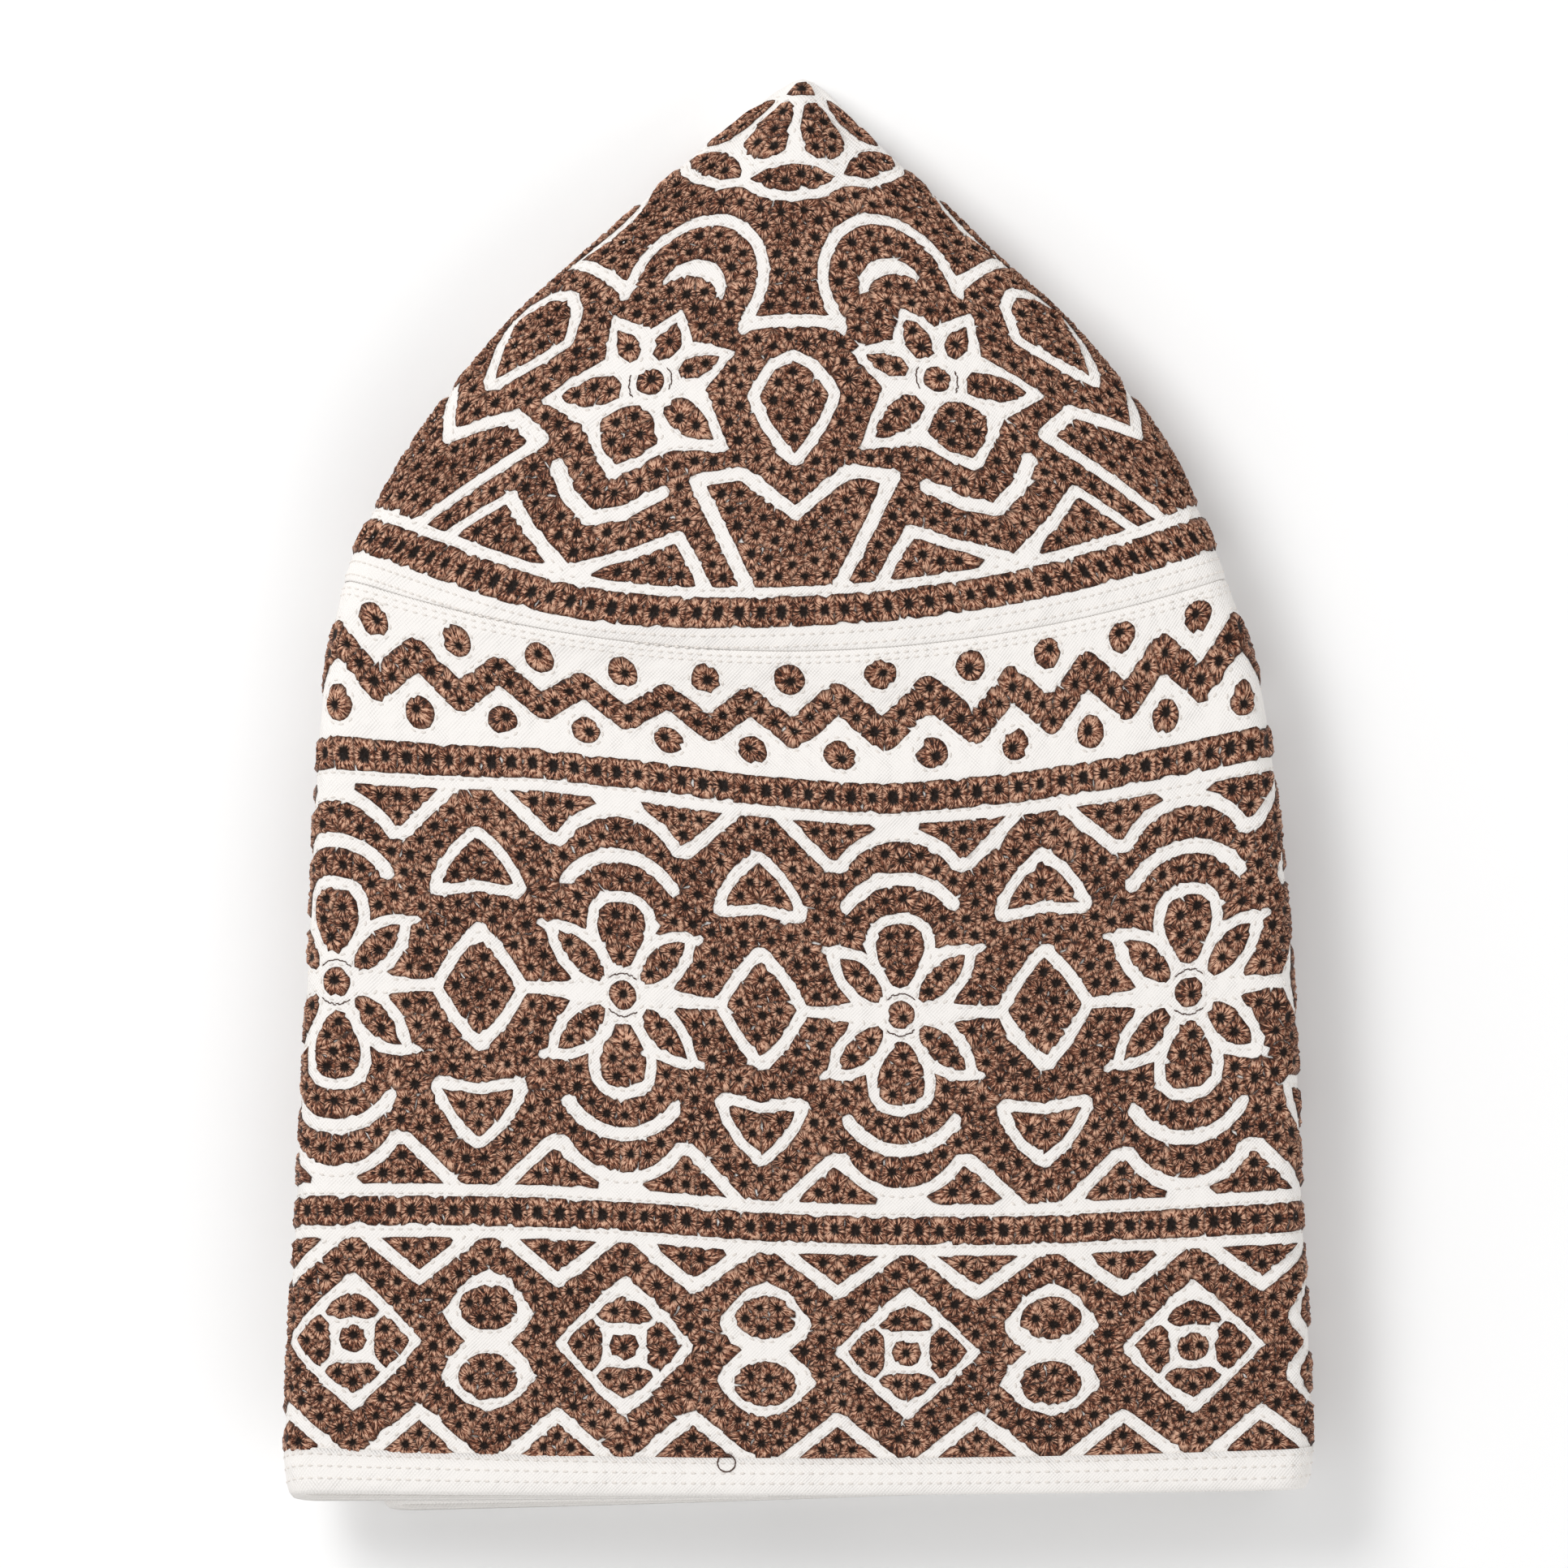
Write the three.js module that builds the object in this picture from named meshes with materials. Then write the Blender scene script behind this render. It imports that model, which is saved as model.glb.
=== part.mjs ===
// An embroidered prayer cap, folded flat and lying on its back.
// Units are millimetres. X runs across the cap, Y from the hem to the crown's point, and Z up from the surface.
// The cap is three sewn pieces: a crown cut as a disc, a side band and the turned hem at its mouth.
// It is folded in quarters: a front and a back panel, and between them a gusset tucked in from each side.
import * as THREE from 'three';

// The folded cap seen from above
const BAND_HEIGHT = 116;      // hem's edge to crown seam, down the middle of the front
const CROWN_HEIGHT = 79;      // crown seam to point, down the middle of the front
const FOLDED_WIDTH = 141;     // widest, across the mouth
const HEM_HEIGHT = 5.2;       // turned hem, part of the band's height
const HEM_SLANT = 0.4;        // the hem's right end stands this much higher than its left
const BACK_DROP = 1.05;       // the back's hem shows this far below the front's, in the middle
const BACK_TURN = 1.75;       // degrees that the back lies turned from the front, its left side lower
const BACK_INSET_LEFT = 13;   // the back's left fold lies this far inside the front's
const BACK_INSET_RIGHT = 2;

// The cloth and the spaces between its layers
const WALL = 1.6;             // two plies of cotton and the stitching
const HEM_WALL = 2.2;         // the hem's turned plies
const HEAD_SLOT = 4.6;        // open space for the head at the hem, between a panel and the gusset's leaf
const POCKET_GAP = 1.2;       // outside space at the hem, between a gusset's two leaves
const DOME = 2.6;             // the front panel's rise in its middle
const SEAM_GAP = 0.3;         // between two sewn pieces
const TIP_SOLID = 0.045;      // share of the crown's height where the cloth is bunched solid

// How finely the sheets are divided
const STEPS = { front: 14, fold: 4, leaf: 3, tip: 4, back: 4 };
const PLAIN_STEPS = 5;        // the band's lower part
const CREASED_STEPS = 9;      // the band's upper part, above CREASES_FROM
const CREASES_FROM = 0.6;     // share of the band's height
const CROWN_STEPS = 13;

// Sections of the band from hem to seam, as shares.
// up: height in the middle of the front, of BAND_HEIGHT. half: outline, of half the FOLDED_WIDTH.
// lift: how far the folds stand above the middle, of BAND_HEIGHT. shift: sideways, of half the FOLDED_WIDTH.
// tuck: the gusset's depth, of the half width. thick: the stack's height. stray: how far the back strays.
const BAND_SECTIONS = [
  { up: 0.000, half: 0.990, lift: 0.004, shift: 0.000, tuck: 0.93, thick: 1.00, stray: 1.00 },
  { up: 0.045, half: 1.000, lift: 0.012, shift: 0.000, tuck: 0.93, thick: 1.00, stray: 1.00 },
  { up: 0.181, half: 0.993, lift: 0.013, shift: 0.000, tuck: 0.93, thick: 1.00, stray: 0.97 },
  { up: 0.320, half: 0.980, lift: 0.017, shift: 0.001, tuck: 0.93, thick: 1.00, stray: 0.93 },
  { up: 0.575, half: 0.960, lift: 0.037, shift: 0.003, tuck: 0.93, thick: 1.00, stray: 0.86 },
  { up: 0.832, half: 0.928, lift: 0.055, shift: -0.008, tuck: 0.93, thick: 1.00, stray: 0.80 },
  { up: 0.917, half: 0.903, lift: 0.074, shift: -0.016, tuck: 0.93, thick: 1.00, stray: 0.76 },
  { up: 1.000, half: 0.860, lift: 0.085, shift: -0.027, tuck: 0.93, thick: 1.00, stray: 0.72 },
];

// Sections of the crown from seam to point. up and lift are shares of CROWN_HEIGHT.
const CROWN_SECTIONS = [
  { up: 0.000, half: 0.861, lift: 0.125, shift: -0.027, tuck: 0.93, thick: 1.00, stray: 0.72 },
  { up: 0.069, half: 0.828, lift: 0.132, shift: -0.027, tuck: 0.93, thick: 1.00, stray: 0.68 },
  { up: 0.218, half: 0.731, lift: 0.147, shift: -0.020, tuck: 0.92, thick: 0.99, stray: 0.58 },
  { up: 0.419, half: 0.556, lift: 0.143, shift: -0.019, tuck: 0.90, thick: 0.96, stray: 0.42 },
  { up: 0.600, half: 0.393, lift: 0.096, shift: -0.019, tuck: 0.85, thick: 0.91, stray: 0.28 },
  { up: 0.713, half: 0.298, lift: 0.064, shift: -0.014, tuck: 0.78, thick: 0.84, stray: 0.18 },
  { up: 0.826, half: 0.196, lift: 0.035, shift: -0.013, tuck: 0.62, thick: 0.72, stray: 0.10 },
  { up: 0.911, half: 0.117, lift: 0.016, shift: -0.006, tuck: 0.40, thick: 0.55, stray: 0.04 },
  { up: 0.967, half: 0.062, lift: 0.006, shift: 0.004, tuck: 0.22, thick: 0.36, stray: 0.01 },
  { up: 0.992, half: 0.030, lift: 0.002, shift: 0.008, tuck: 0.20, thick: 0.24, stray: 0.00 },
];

// Dents and swells of the front panel. across: -1 to 1 from fold to fold.
// up: -1 at the hem, 0 at the crown's seam and 1 at the point. wide and tall: their reach. rise: height, of the DOME.
const FRONT_RELIEF = [
  { across: -0.45, up: -0.030, wide: 0.40, tall: 0.050, rise: -0.80 },   // crease under the seam, falling to the left
  { across: -0.12, up: -0.085, wide: 0.28, tall: 0.045, rise: -0.85 },
  { across: 0.30, up: -0.075, wide: 0.30, tall: 0.045, rise: -0.45 },
  { across: 0.00, up: 0.110, wide: 0.70, tall: 0.110, rise: 0.55 },      // the crown's swollen rim
  { across: -0.10, up: -0.190, wide: 0.80, tall: 0.060, rise: 0.35 },    // the band's upper edge
  { across: -0.62, up: -0.580, wide: 0.25, tall: 0.330, rise: -0.25 },
  { across: 0.55, up: -0.500, wide: 0.22, tall: 0.370, rise: -0.20 },
];

const HALF_WIDTH = FOLDED_WIDTH / 2;
const LEAF_HALF = (POCKET_GAP + HEM_WALL) / 2;          // stack's middle to the middle of a gusset's leaf
const STACK_HALF = LEAF_HALF + HEM_WALL + HEAD_SLOT;    // stack's middle to the middle of a panel
const REST_LEVEL = HEM_WALL / 2;                        // the hem alone touches the surface

// A smooth value between the rows of a table, by a cubic through its neighbours.
function valueAt(rows, column, up) {
  let i = rows.findIndex((row) => row.up >= up);
  i = i < 0 ? rows.length - 1 : Math.max(i, 1);
  const [before, low, high, after] = [rows[Math.max(i - 2, 0)], rows[i - 1], rows[i],
    rows[Math.min(i + 1, rows.length - 1)]];
  const span = high.up - low.up;
  const t = THREE.MathUtils.clamp((up - low.up) / span, 0, 1);
  const slopeLow = (high[column] - before[column]) / (high.up - before.up) * span;
  const slopeHigh = (after[column] - low[column]) / (after.up - low.up) * span;
  const rise = high[column] - low[column];
  return low[column] + t * slopeLow + t * t * (3 * rise - 2 * slopeLow - slopeHigh)
    + t * t * t * (slopeLow + slopeHigh - 2 * rise);
}

// The section of the folded sheets at a share of the band's or the crown's height, in millimetres.
function sectionAt(rows, up, base, height) {
  const read = (column) => valueAt(rows, column, up);
  const half = read('half') * HALF_WIDTH - WALL / 2;
  const y = base + up * height;
  return {
    y,
    slant: HEM_SLANT / 2 * Math.max(0, 1 - y / HEM_HEIGHT),
    lift: read('lift') * height,
    shift: read('shift') * HALF_WIDTH,
    half,
    leftBack: half - BACK_INSET_LEFT * read('stray'),
    rightBack: half - BACK_INSET_RIGHT * read('stray'),
    drop: BACK_DROP * read('stray'),
    turn: Math.tan(THREE.MathUtils.degToRad(BACK_TURN)) * read('stray'),
    tip: half * (1 - read('tuck')),
    high: STACK_HALF * read('thick'),
  };
}

function frontRise(across, y) {
  const up = (y - BAND_HEIGHT) / (y < BAND_HEIGHT ? BAND_HEIGHT : CROWN_HEIGHT);
  const bump = (t) => Math.exp(-t * t);
  const swell = FRONT_RELIEF.reduce((sum, row) => sum
    + row.rise * bump((across - row.across) / row.wide) * bump((up - row.up) / row.tall), 1);
  return DOME * swell * (1 - across * across);
}

// One loop round the folded sheets, offset from the middle of the wall: front, right gusset, back, left gusset.
function loopPoints(s, offset) {
  const leaf = Math.min(LEAF_HALF, s.high * 0.42);
  const roundHigh = (s.high - leaf) / 2;
  const points = [];
  const put = (side, x, z) => points.push({ x: side * x, z });
  const line = (side, x0, x1, z, steps) => {
    for (let i = 0; i < steps; i++) put(side, x0 + (x1 - x0) * i / steps, z);
  };
  const arc = (side, cx, cz, rx, rz, from, to, steps) => {
    for (let i = 0; i < steps; i++) {
      const a = THREE.MathUtils.degToRad(from + (to - from) * i / steps);
      put(side, cx + rx * Math.cos(a), cz + rz * Math.sin(a));
    }
  };
  // Half of the loop on one side, from the middle of the front to the middle of the back
  const halfLoop = (side, back) => {
    const start = points.length;
    const reachOf = (edge) => Math.min(roundHigh, (edge - s.tip) * 0.4);
    const [frontReach, backReach] = [reachOf(s.half), reachOf(back)];
    const tipReach = Math.min(leaf, (back - s.tip) * 0.25);
    const grow = 1 + offset / roundHigh;
    const shrink = 1 - offset / leaf;
    const [frontEnd, backEnd, tipEnd] = [s.half - frontReach, back - backReach, s.tip + tipReach];
    line(side, 0, frontEnd, s.high + offset, STEPS.front / 2);
    arc(side, frontEnd, (s.high + leaf) / 2, frontReach * grow, roundHigh + offset, 90, -90, STEPS.fold);
    line(side, frontEnd, tipEnd, leaf - offset, STEPS.leaf);
    arc(side, tipEnd, 0, tipReach * shrink, leaf - offset, 90, 270, STEPS.tip);
    line(side, tipEnd, backEnd, offset - leaf, STEPS.leaf);
    arc(side, backEnd, -(s.high + leaf) / 2, backReach * grow, roundHigh + offset, 90, -90, STEPS.fold);
    line(side, backEnd, 0, -s.high - offset, STEPS.back / 2);
    return points.slice(start);
  };
  const right = halfLoop(1, s.rightBack);
  const left = halfLoop(-1, s.leftBack);
  const closing = { x: 0, z: -s.high - offset };
  const loop = [...right, closing, ...left.slice(1).reverse()];
  const frontEnd = s.half - Math.min(roundHigh, (s.half - s.tip) * 0.4);
  return loop.map(({ x, z }) => {
    const edge = Math.min(1, Math.abs(x) / s.half);
    const backShare = (1 - z / s.high) / 2;
    const y = s.y + s.lift * edge * edge + s.slant * x / s.half - (s.drop - s.turn * x) * backShare;
    const onFront = z > s.high - WALL && Math.abs(x) < frontEnd;
    const rise = onFront ? frontRise(x / frontEnd, y) : 0;
    return new THREE.Vector3(x + s.shift, y, z + rise + s.high + REST_LEVEL);
  });
}

// A closed solid between an outer and an inner skin, each a list of loops from the mouth upwards.
// A skin may end in a single point; otherwise its last loop is joined to the other skin's.
function wallSolid(outer, inner, outerPoint, innerPoint) {
  const vertices = [];
  const triangles = [];
  const add = (loop) => loop.map((p) => vertices.push(p) - 1);
  const strip = (low, high) => low.forEach((a, i) => {
    const j = (i + 1) % low.length;
    triangles.push([a, low[j], high[j]], [a, high[j], high[i]]);
  });
  const fan = (loop, tip) => loop.forEach((a, i) => triangles.push([a, loop[(i + 1) % loop.length], tip]));
  const outerRings = outer.map(add);
  const innerRings = inner.map(add);
  const stack = (rings) => rings.slice(1).forEach((ring, k) => strip(rings[k], ring));
  stack(outerRings);
  stack([...innerRings].reverse());
  strip(innerRings[0], outerRings[0]);
  if (outerPoint) {
    fan(outerRings.at(-1), add([outerPoint])[0]);
    const tip = add([innerPoint])[0];
    fan([...innerRings.at(-1)].reverse(), tip);
  } else {
    strip(outerRings.at(-1), innerRings.at(-1));
  }
  const geometry = new THREE.BufferGeometry();
  geometry.setAttribute('position', new THREE.Float32BufferAttribute(vertices.flatMap((p) => p.toArray()), 3));
  geometry.setIndex(triangles.flat());
  geometry.computeVertexNormals();
  return geometry;
}

const evenly = (from, to, steps) => Array.from({ length: steps + 1 }, (_, i) => from + (to - from) * i / steps);
const bandLoop = (up, offset) => loopPoints(sectionAt(BAND_SECTIONS, up, 0, BAND_HEIGHT), offset);
const crownLoop = (up, offset) => loopPoints(sectionAt(CROWN_SECTIONS, up, BAND_HEIGHT, CROWN_HEIGHT), offset);

function bandGeometry() {
  const [low, high] = [(HEM_HEIGHT + SEAM_GAP) / BAND_HEIGHT, 1 - SEAM_GAP / 2 / BAND_HEIGHT];
  const heights = [...evenly(low, CREASES_FROM, PLAIN_STEPS), ...evenly(CREASES_FROM, high, CREASED_STEPS).slice(1)];
  return wallSolid(heights.map((up) => bandLoop(up, WALL / 2)), heights.map((up) => bandLoop(up, -WALL / 2)));
}

// The hem's lower edge is a fold, so its first loops draw together
function hemGeometry() {
  const rows = [
    { up: 0, wall: 0.45 },
    { up: 0.12, wall: 0.85 },
    { up: 0.3, wall: 1 },
    { up: 1, wall: 1 },
  ];
  const skin = (side) => rows.map((row) => bandLoop(row.up * HEM_HEIGHT / BAND_HEIGHT, side * row.wall * HEM_WALL / 2));
  return wallSolid(skin(1), skin(-1));
}

function crownGeometry() {
  const low = SEAM_GAP / 2 / CROWN_HEIGHT;
  const last = CROWN_SECTIONS.at(-1);
  const ease = (t) => Math.sin(t * Math.PI / 2);          // sections lie closer together near the point
  const heights = evenly(0, 1, CROWN_STEPS).map((t) => low + (last.up - low) * ease(t));
  const innerTop = CROWN_SECTIONS.at(-3).up;
  const innerHeights = heights.filter((up) => up < innerTop);
  const pointAt = (up, share) => {
    const s = sectionAt(CROWN_SECTIONS, Math.min(up, last.up), BAND_HEIGHT, CROWN_HEIGHT);
    return new THREE.Vector3(s.shift, BAND_HEIGHT + up * CROWN_HEIGHT, s.high * share + REST_LEVEL);
  };
  return wallSolid(
    heights.map((up) => crownLoop(up, WALL / 2)),
    innerHeights.map((up) => crownLoop(up, -WALL / 2)),
    pointAt(1, 1),
    pointAt(innerHeights.at(-1) + TIP_SOLID, 1),
  );
}

function piece(name, geometry, material) {
  const mesh = new THREE.Mesh(geometry, material);
  mesh.name = name;
  return mesh;
}

const embroideredCotton = new THREE.MeshStandardMaterial({ color: 0x8a6454, roughness: 0.75, metalness: 0 });
const plainCotton = new THREE.MeshStandardMaterial({ color: 0xf0ece7, roughness: 0.85, metalness: 0 });

const cap = new THREE.Group();
cap.add(piece('crown', crownGeometry(), embroideredCotton));
cap.add(piece('side_band', bandGeometry(), embroideredCotton));
cap.add(piece('hem', hemGeometry(), plainCotton));

// The origin is on the surface, under the middle of the folded cap
const bounds = new THREE.Box3().setFromObject(cap);
const middle = bounds.getCenter(new THREE.Vector3());
cap.position.set(-middle.x, -middle.y, -bounds.min.z);

export default cap;
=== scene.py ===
# Prayer cap of embroidered cotton, folded flat in quarters and lying on its back
from math import atan2, cos, degrees, pi, radians, sin, tan
import bmesh
import bpy
import numpy as np
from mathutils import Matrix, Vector


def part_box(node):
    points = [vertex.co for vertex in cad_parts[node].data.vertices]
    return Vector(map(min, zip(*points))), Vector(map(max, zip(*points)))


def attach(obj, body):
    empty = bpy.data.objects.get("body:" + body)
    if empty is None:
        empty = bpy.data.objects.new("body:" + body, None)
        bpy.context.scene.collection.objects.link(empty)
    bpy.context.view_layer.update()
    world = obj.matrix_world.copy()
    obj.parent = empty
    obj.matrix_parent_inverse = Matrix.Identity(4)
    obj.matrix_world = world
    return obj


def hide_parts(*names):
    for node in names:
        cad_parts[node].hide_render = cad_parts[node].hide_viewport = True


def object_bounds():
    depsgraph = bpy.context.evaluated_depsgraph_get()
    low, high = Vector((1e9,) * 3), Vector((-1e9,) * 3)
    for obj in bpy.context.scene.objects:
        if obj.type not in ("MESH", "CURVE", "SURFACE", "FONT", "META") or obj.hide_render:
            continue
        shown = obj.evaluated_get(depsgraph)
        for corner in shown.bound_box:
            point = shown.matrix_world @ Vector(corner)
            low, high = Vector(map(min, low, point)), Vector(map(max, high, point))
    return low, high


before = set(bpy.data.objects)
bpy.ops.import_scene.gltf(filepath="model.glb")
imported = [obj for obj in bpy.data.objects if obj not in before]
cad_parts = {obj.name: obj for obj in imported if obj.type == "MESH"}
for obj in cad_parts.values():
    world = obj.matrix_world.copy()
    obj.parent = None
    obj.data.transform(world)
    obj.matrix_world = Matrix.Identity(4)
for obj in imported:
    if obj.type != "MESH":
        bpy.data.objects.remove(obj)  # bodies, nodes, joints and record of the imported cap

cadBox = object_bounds()
mm = 0.001

# The camera looks straight down, as in the photograph
view = {
    "frameWidth": 215.4 * mm,  # what the square frame takes in at the height of the cap's front
    "middle": (-2.0 * mm, 1.6 * mm),
    "level": 18 * mm,
    "lens": 600,
    "sensor": 36,
}


def addObject(name, data):
    thing = bpy.data.objects.new(name, data)
    bpy.context.scene.collection.objects.link(thing)
    return thing


def makeCamera():
    data = bpy.data.cameras.new("camera")
    data.lens = view["lens"]
    data.sensor_width = view["sensor"]
    camera = addObject("camera", data)
    away = view["frameWidth"] * view["lens"] / view["sensor"]
    camera.location = (*view["middle"], view["level"] + away)
    bpy.context.scene.camera = camera


makeCamera()
print("camera placed")

# The folded sheets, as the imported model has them. Tables hold shares of the sizes in this dictionary.
fold = {
    "bandHeight": 116 * mm,  # hem's edge to crown seam, down the middle of the front
    "crownHeight": 79 * mm,  # crown seam to point
    "halfWidth": 70.5 * mm,
    "hemHeight": 5.2 * mm,
    "hemSlant": 0.4 * mm,
    "backDrop": 1.05 * mm,
    "backTurn": tan(radians(1.75)),
    "backInset": {1: 2 * mm, -1: 13 * mm},
    "wall": 1.6 * mm,
    "hemWall": 2.2 * mm,
    "headSlot": 4.6 * mm,
    "pocketGap": 1.2 * mm,
    "dome": 2.6 * mm,
    "pocketShare": 0.42,  # most that half a gusset's pocket takes of a low stack
    "foldShare": 0.4,  # most that a fold's rounding takes of the gusset's depth
    "tipShare": 0.25,  # the same of the gusset's inner edge
    "weld": 0.004 * mm,  # points closer than this are one
    "nearPoint": 2 * mm,  # the outer skin's last row lies this near to the crown's point
    "innerPoint": 1.5 * mm,  # the inner skin's point above its last row
}
heights = {False: fold["bandHeight"], True: fold["crownHeight"]}  # of the band, and of the crown
leafHalf = (fold["pocketGap"] + fold["hemWall"]) / 2
stackHalf = leafHalf + fold["hemWall"] + fold["headSlot"]
restLevel = fold["hemWall"] / 2
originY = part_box("crown")[1].y - fold["bandHeight"] - fold["crownHeight"]  # the front hem's edge

# up, half: outline, lift: of the folds, shift: sideways, tuck: gusset's depth, thick, stray: of the back
bandSections = (
    (0.000, 0.990, 0.004, 0.000, 0.93, 1.00, 1.00),
    (0.045, 1.000, 0.012, 0.000, 0.93, 1.00, 1.00),
    (0.181, 0.993, 0.013, 0.000, 0.93, 1.00, 0.97),
    (0.320, 0.980, 0.017, 0.001, 0.93, 1.00, 0.93),
    (0.575, 0.960, 0.037, 0.003, 0.93, 1.00, 0.86),
    (0.832, 0.928, 0.055, -0.008, 0.93, 1.00, 0.80),
    (0.917, 0.903, 0.074, -0.016, 0.93, 1.00, 0.76),
    (1.000, 0.860, 0.085, -0.027, 0.93, 1.00, 0.72),
)
crownSections = (
    (0.000, 0.861, 0.125, -0.027, 0.93, 1.00, 0.72),
    (0.069, 0.828, 0.132, -0.027, 0.93, 1.00, 0.68),
    (0.218, 0.731, 0.147, -0.020, 0.92, 0.99, 0.58),
    (0.419, 0.556, 0.143, -0.019, 0.90, 0.96, 0.42),
    (0.600, 0.393, 0.096, -0.019, 0.85, 0.91, 0.28),
    (0.713, 0.298, 0.064, -0.014, 0.78, 0.84, 0.18),
    (0.826, 0.196, 0.035, -0.013, 0.62, 0.72, 0.10),
    (0.911, 0.117, 0.016, -0.006, 0.40, 0.55, 0.04),
    (0.967, 0.062, 0.006, 0.004, 0.22, 0.36, 0.01),
    (0.992, 0.030, 0.002, 0.008, 0.20, 0.24, 0.00),
)
# Dents and swells of the front: across, up (-1 hem, 0 seam, 1 point), wide, tall, rise
frontRelief = (
    (-0.45, -0.030, 0.40, 0.050, -0.80),
    (-0.12, -0.085, 0.28, 0.045, -0.85),
    (0.30, -0.075, 0.30, 0.045, -0.45),
    (0.00, 0.110, 0.70, 0.110, 0.55),
    (-0.10, -0.190, 0.80, 0.060, 0.35),
    (-0.62, -0.580, 0.25, 0.330, -0.25),
    (0.55, -0.500, 0.22, 0.370, -0.20),
)
steps = {"front": 44, "fold": 10, "leaf": 14, "tip": 6, "back": 30, "bandRows": 72, "crownRows": 64}
skinTable = {"rows": 120, "reach": 92, "step": 0.5}  # the outer skin's, in millimetres


def valueAt(rows, column, up):  # a cubic through the neighbouring rows
    i = next((n for n, row in enumerate(rows) if row[0] >= up), len(rows) - 1)
    i = max(i, 1)
    before, low, high, after = rows[max(i - 2, 0)], rows[i - 1], rows[i], rows[min(i + 1, len(rows) - 1)]
    span = high[0] - low[0]
    t = min(max((up - low[0]) / span, 0), 1)
    slopeLow = (high[column] - before[column]) / (high[0] - before[0]) * span
    slopeHigh = (after[column] - low[column]) / (after[0] - low[0]) * span
    rise = high[column] - low[column]
    bend = t * t * (3 * rise - 2 * slopeLow - slopeHigh) + t * t * t * (slopeLow + slopeHigh - 2 * rise)
    return low[column] + t * slopeLow + bend


def sectionAt(onCrown, up):
    rows = crownSections if onCrown else bandSections
    base, height = heights[False] if onCrown else 0, heights[onCrown]
    half, lift, shift, tuck, thick, stray = (valueAt(rows, n, up) for n in range(1, 7))
    half = half * fold["halfWidth"] - fold["wall"] / 2
    y = base + up * height
    return {
        "y": y,
        "half": half,
        "lift": lift * height,
        "shift": shift * fold["halfWidth"],
        "slant": fold["hemSlant"] / 2 * max(0, 1 - y / fold["hemHeight"]),
        "back": {side: half - inset * stray for side, inset in fold["backInset"].items()},
        "drop": fold["backDrop"] * stray,
        "turn": fold["backTurn"] * stray,
        "tip": half * (1 - tuck),
        "high": stackHalf * thick,
    }


def frontRise(across, y):
    belowSeam = y < fold["bandHeight"]
    up = (y - fold["bandHeight"]) / np.where(belowSeam, fold["bandHeight"], fold["crownHeight"])
    swell = np.ones_like(across)
    for a, u, wide, tall, rise in frontRelief:
        swell = swell + rise * np.exp(-((across - a) / wide) ** 2 - ((up - u) / tall) ** 2)
    return fold["dome"] * swell * (1 - across * across)


def halfLoop(s, side, offset):  # x and z from the front's middle, round the gusset, to the back's
    back = s["back"][side]
    leaf = min(leafHalf, s["high"] * fold["pocketShare"])
    roundHigh = (s["high"] - leaf) / 2
    edges = s["half"], back
    frontReach, backReach = (min(roundHigh, (edge - s["tip"]) * fold["foldShare"]) for edge in edges)
    tipReach = min(leaf, (back - s["tip"]) * fold["tipShare"])
    grow, shrink = 1 + offset / roundHigh, 1 - offset / leaf
    frontEnd, backEnd, tipEnd = s["half"] - frontReach, back - backReach, s["tip"] + tipReach
    level = (s["high"] + leaf) / 2

    def line(x0, x1, z, count):
        t = np.arange(count) / count
        return x0 + (x1 - x0) * t, np.full(count, z)

    def arc(cx, cz, rx, rz, start, end, count):
        turn = np.radians(start + (end - start) * np.arange(count) / count)
        return cx + rx * np.cos(turn), cz + rz * np.sin(turn)

    runs = (
        line(0, frontEnd, s["high"] + offset, steps["front"]),
        arc(frontEnd, level, frontReach * grow, roundHigh + offset, 90, -90, steps["fold"]),
        line(frontEnd, tipEnd, leaf - offset, steps["leaf"]),
        arc(tipEnd, 0, tipReach * shrink, leaf - offset, 90, 270, steps["tip"]),
        line(tipEnd, backEnd, offset - leaf, steps["leaf"]),
        arc(backEnd, -level, backReach * grow, roundHigh + offset, 90, -90, steps["fold"]),
        line(backEnd, 0, -s["high"] - offset, steps["back"]),
        (np.zeros(1), np.full(1, -s["high"] - offset)),
    )
    x, z = (np.concatenate(part) for part in zip(*runs))
    along = np.concatenate(([0], np.cumsum(np.hypot(np.diff(x), np.diff(z)))))
    return side * x, z, side * along, frontEnd


def sheetLoop(onCrown, up, offset):  # points round the sheets from the back's middle, and their arc length
    s = sectionAt(onCrown, up)
    right, left = halfLoop(s, 1, offset), halfLoop(s, -1, offset)
    x, z, along = (np.concatenate((a[:0:-1], b)) for a, b in zip(left[:3], right[:3]))
    edge = np.minimum(1, np.abs(x) / s["half"])
    backShare = (1 - z / s["high"]) / 2
    y = s["y"] + s["lift"] * edge ** 2 + s["slant"] * x / s["half"]
    y = y - (s["drop"] - s["turn"] * x) * backShare
    frontEnd = right[3]
    onFront = (z > s["high"] - fold["wall"]) & (np.abs(x) < frontEnd)
    z = z + np.where(onFront, frontRise(x / frontEnd, y), 0)
    return np.stack((x + s["shift"], y + originY, z + s["high"] + restLevel), axis=1), along


def meshOf(name, bm, material):
    mesh = bpy.data.meshes.new(name)
    bm.to_mesh(mesh)
    bm.free()
    mesh.materials.append(material)
    return mesh


def addPiece(name, mesh):
    mesh.shade_smooth()
    piece = addObject(name, mesh)
    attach(piece, "root")
    return piece


def clothPiece(name, bm, node):  # a sheet that stands for a node
    piece = addPiece(name, meshOf(name, bm, cotton))
    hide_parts(node)
    return piece


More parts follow.
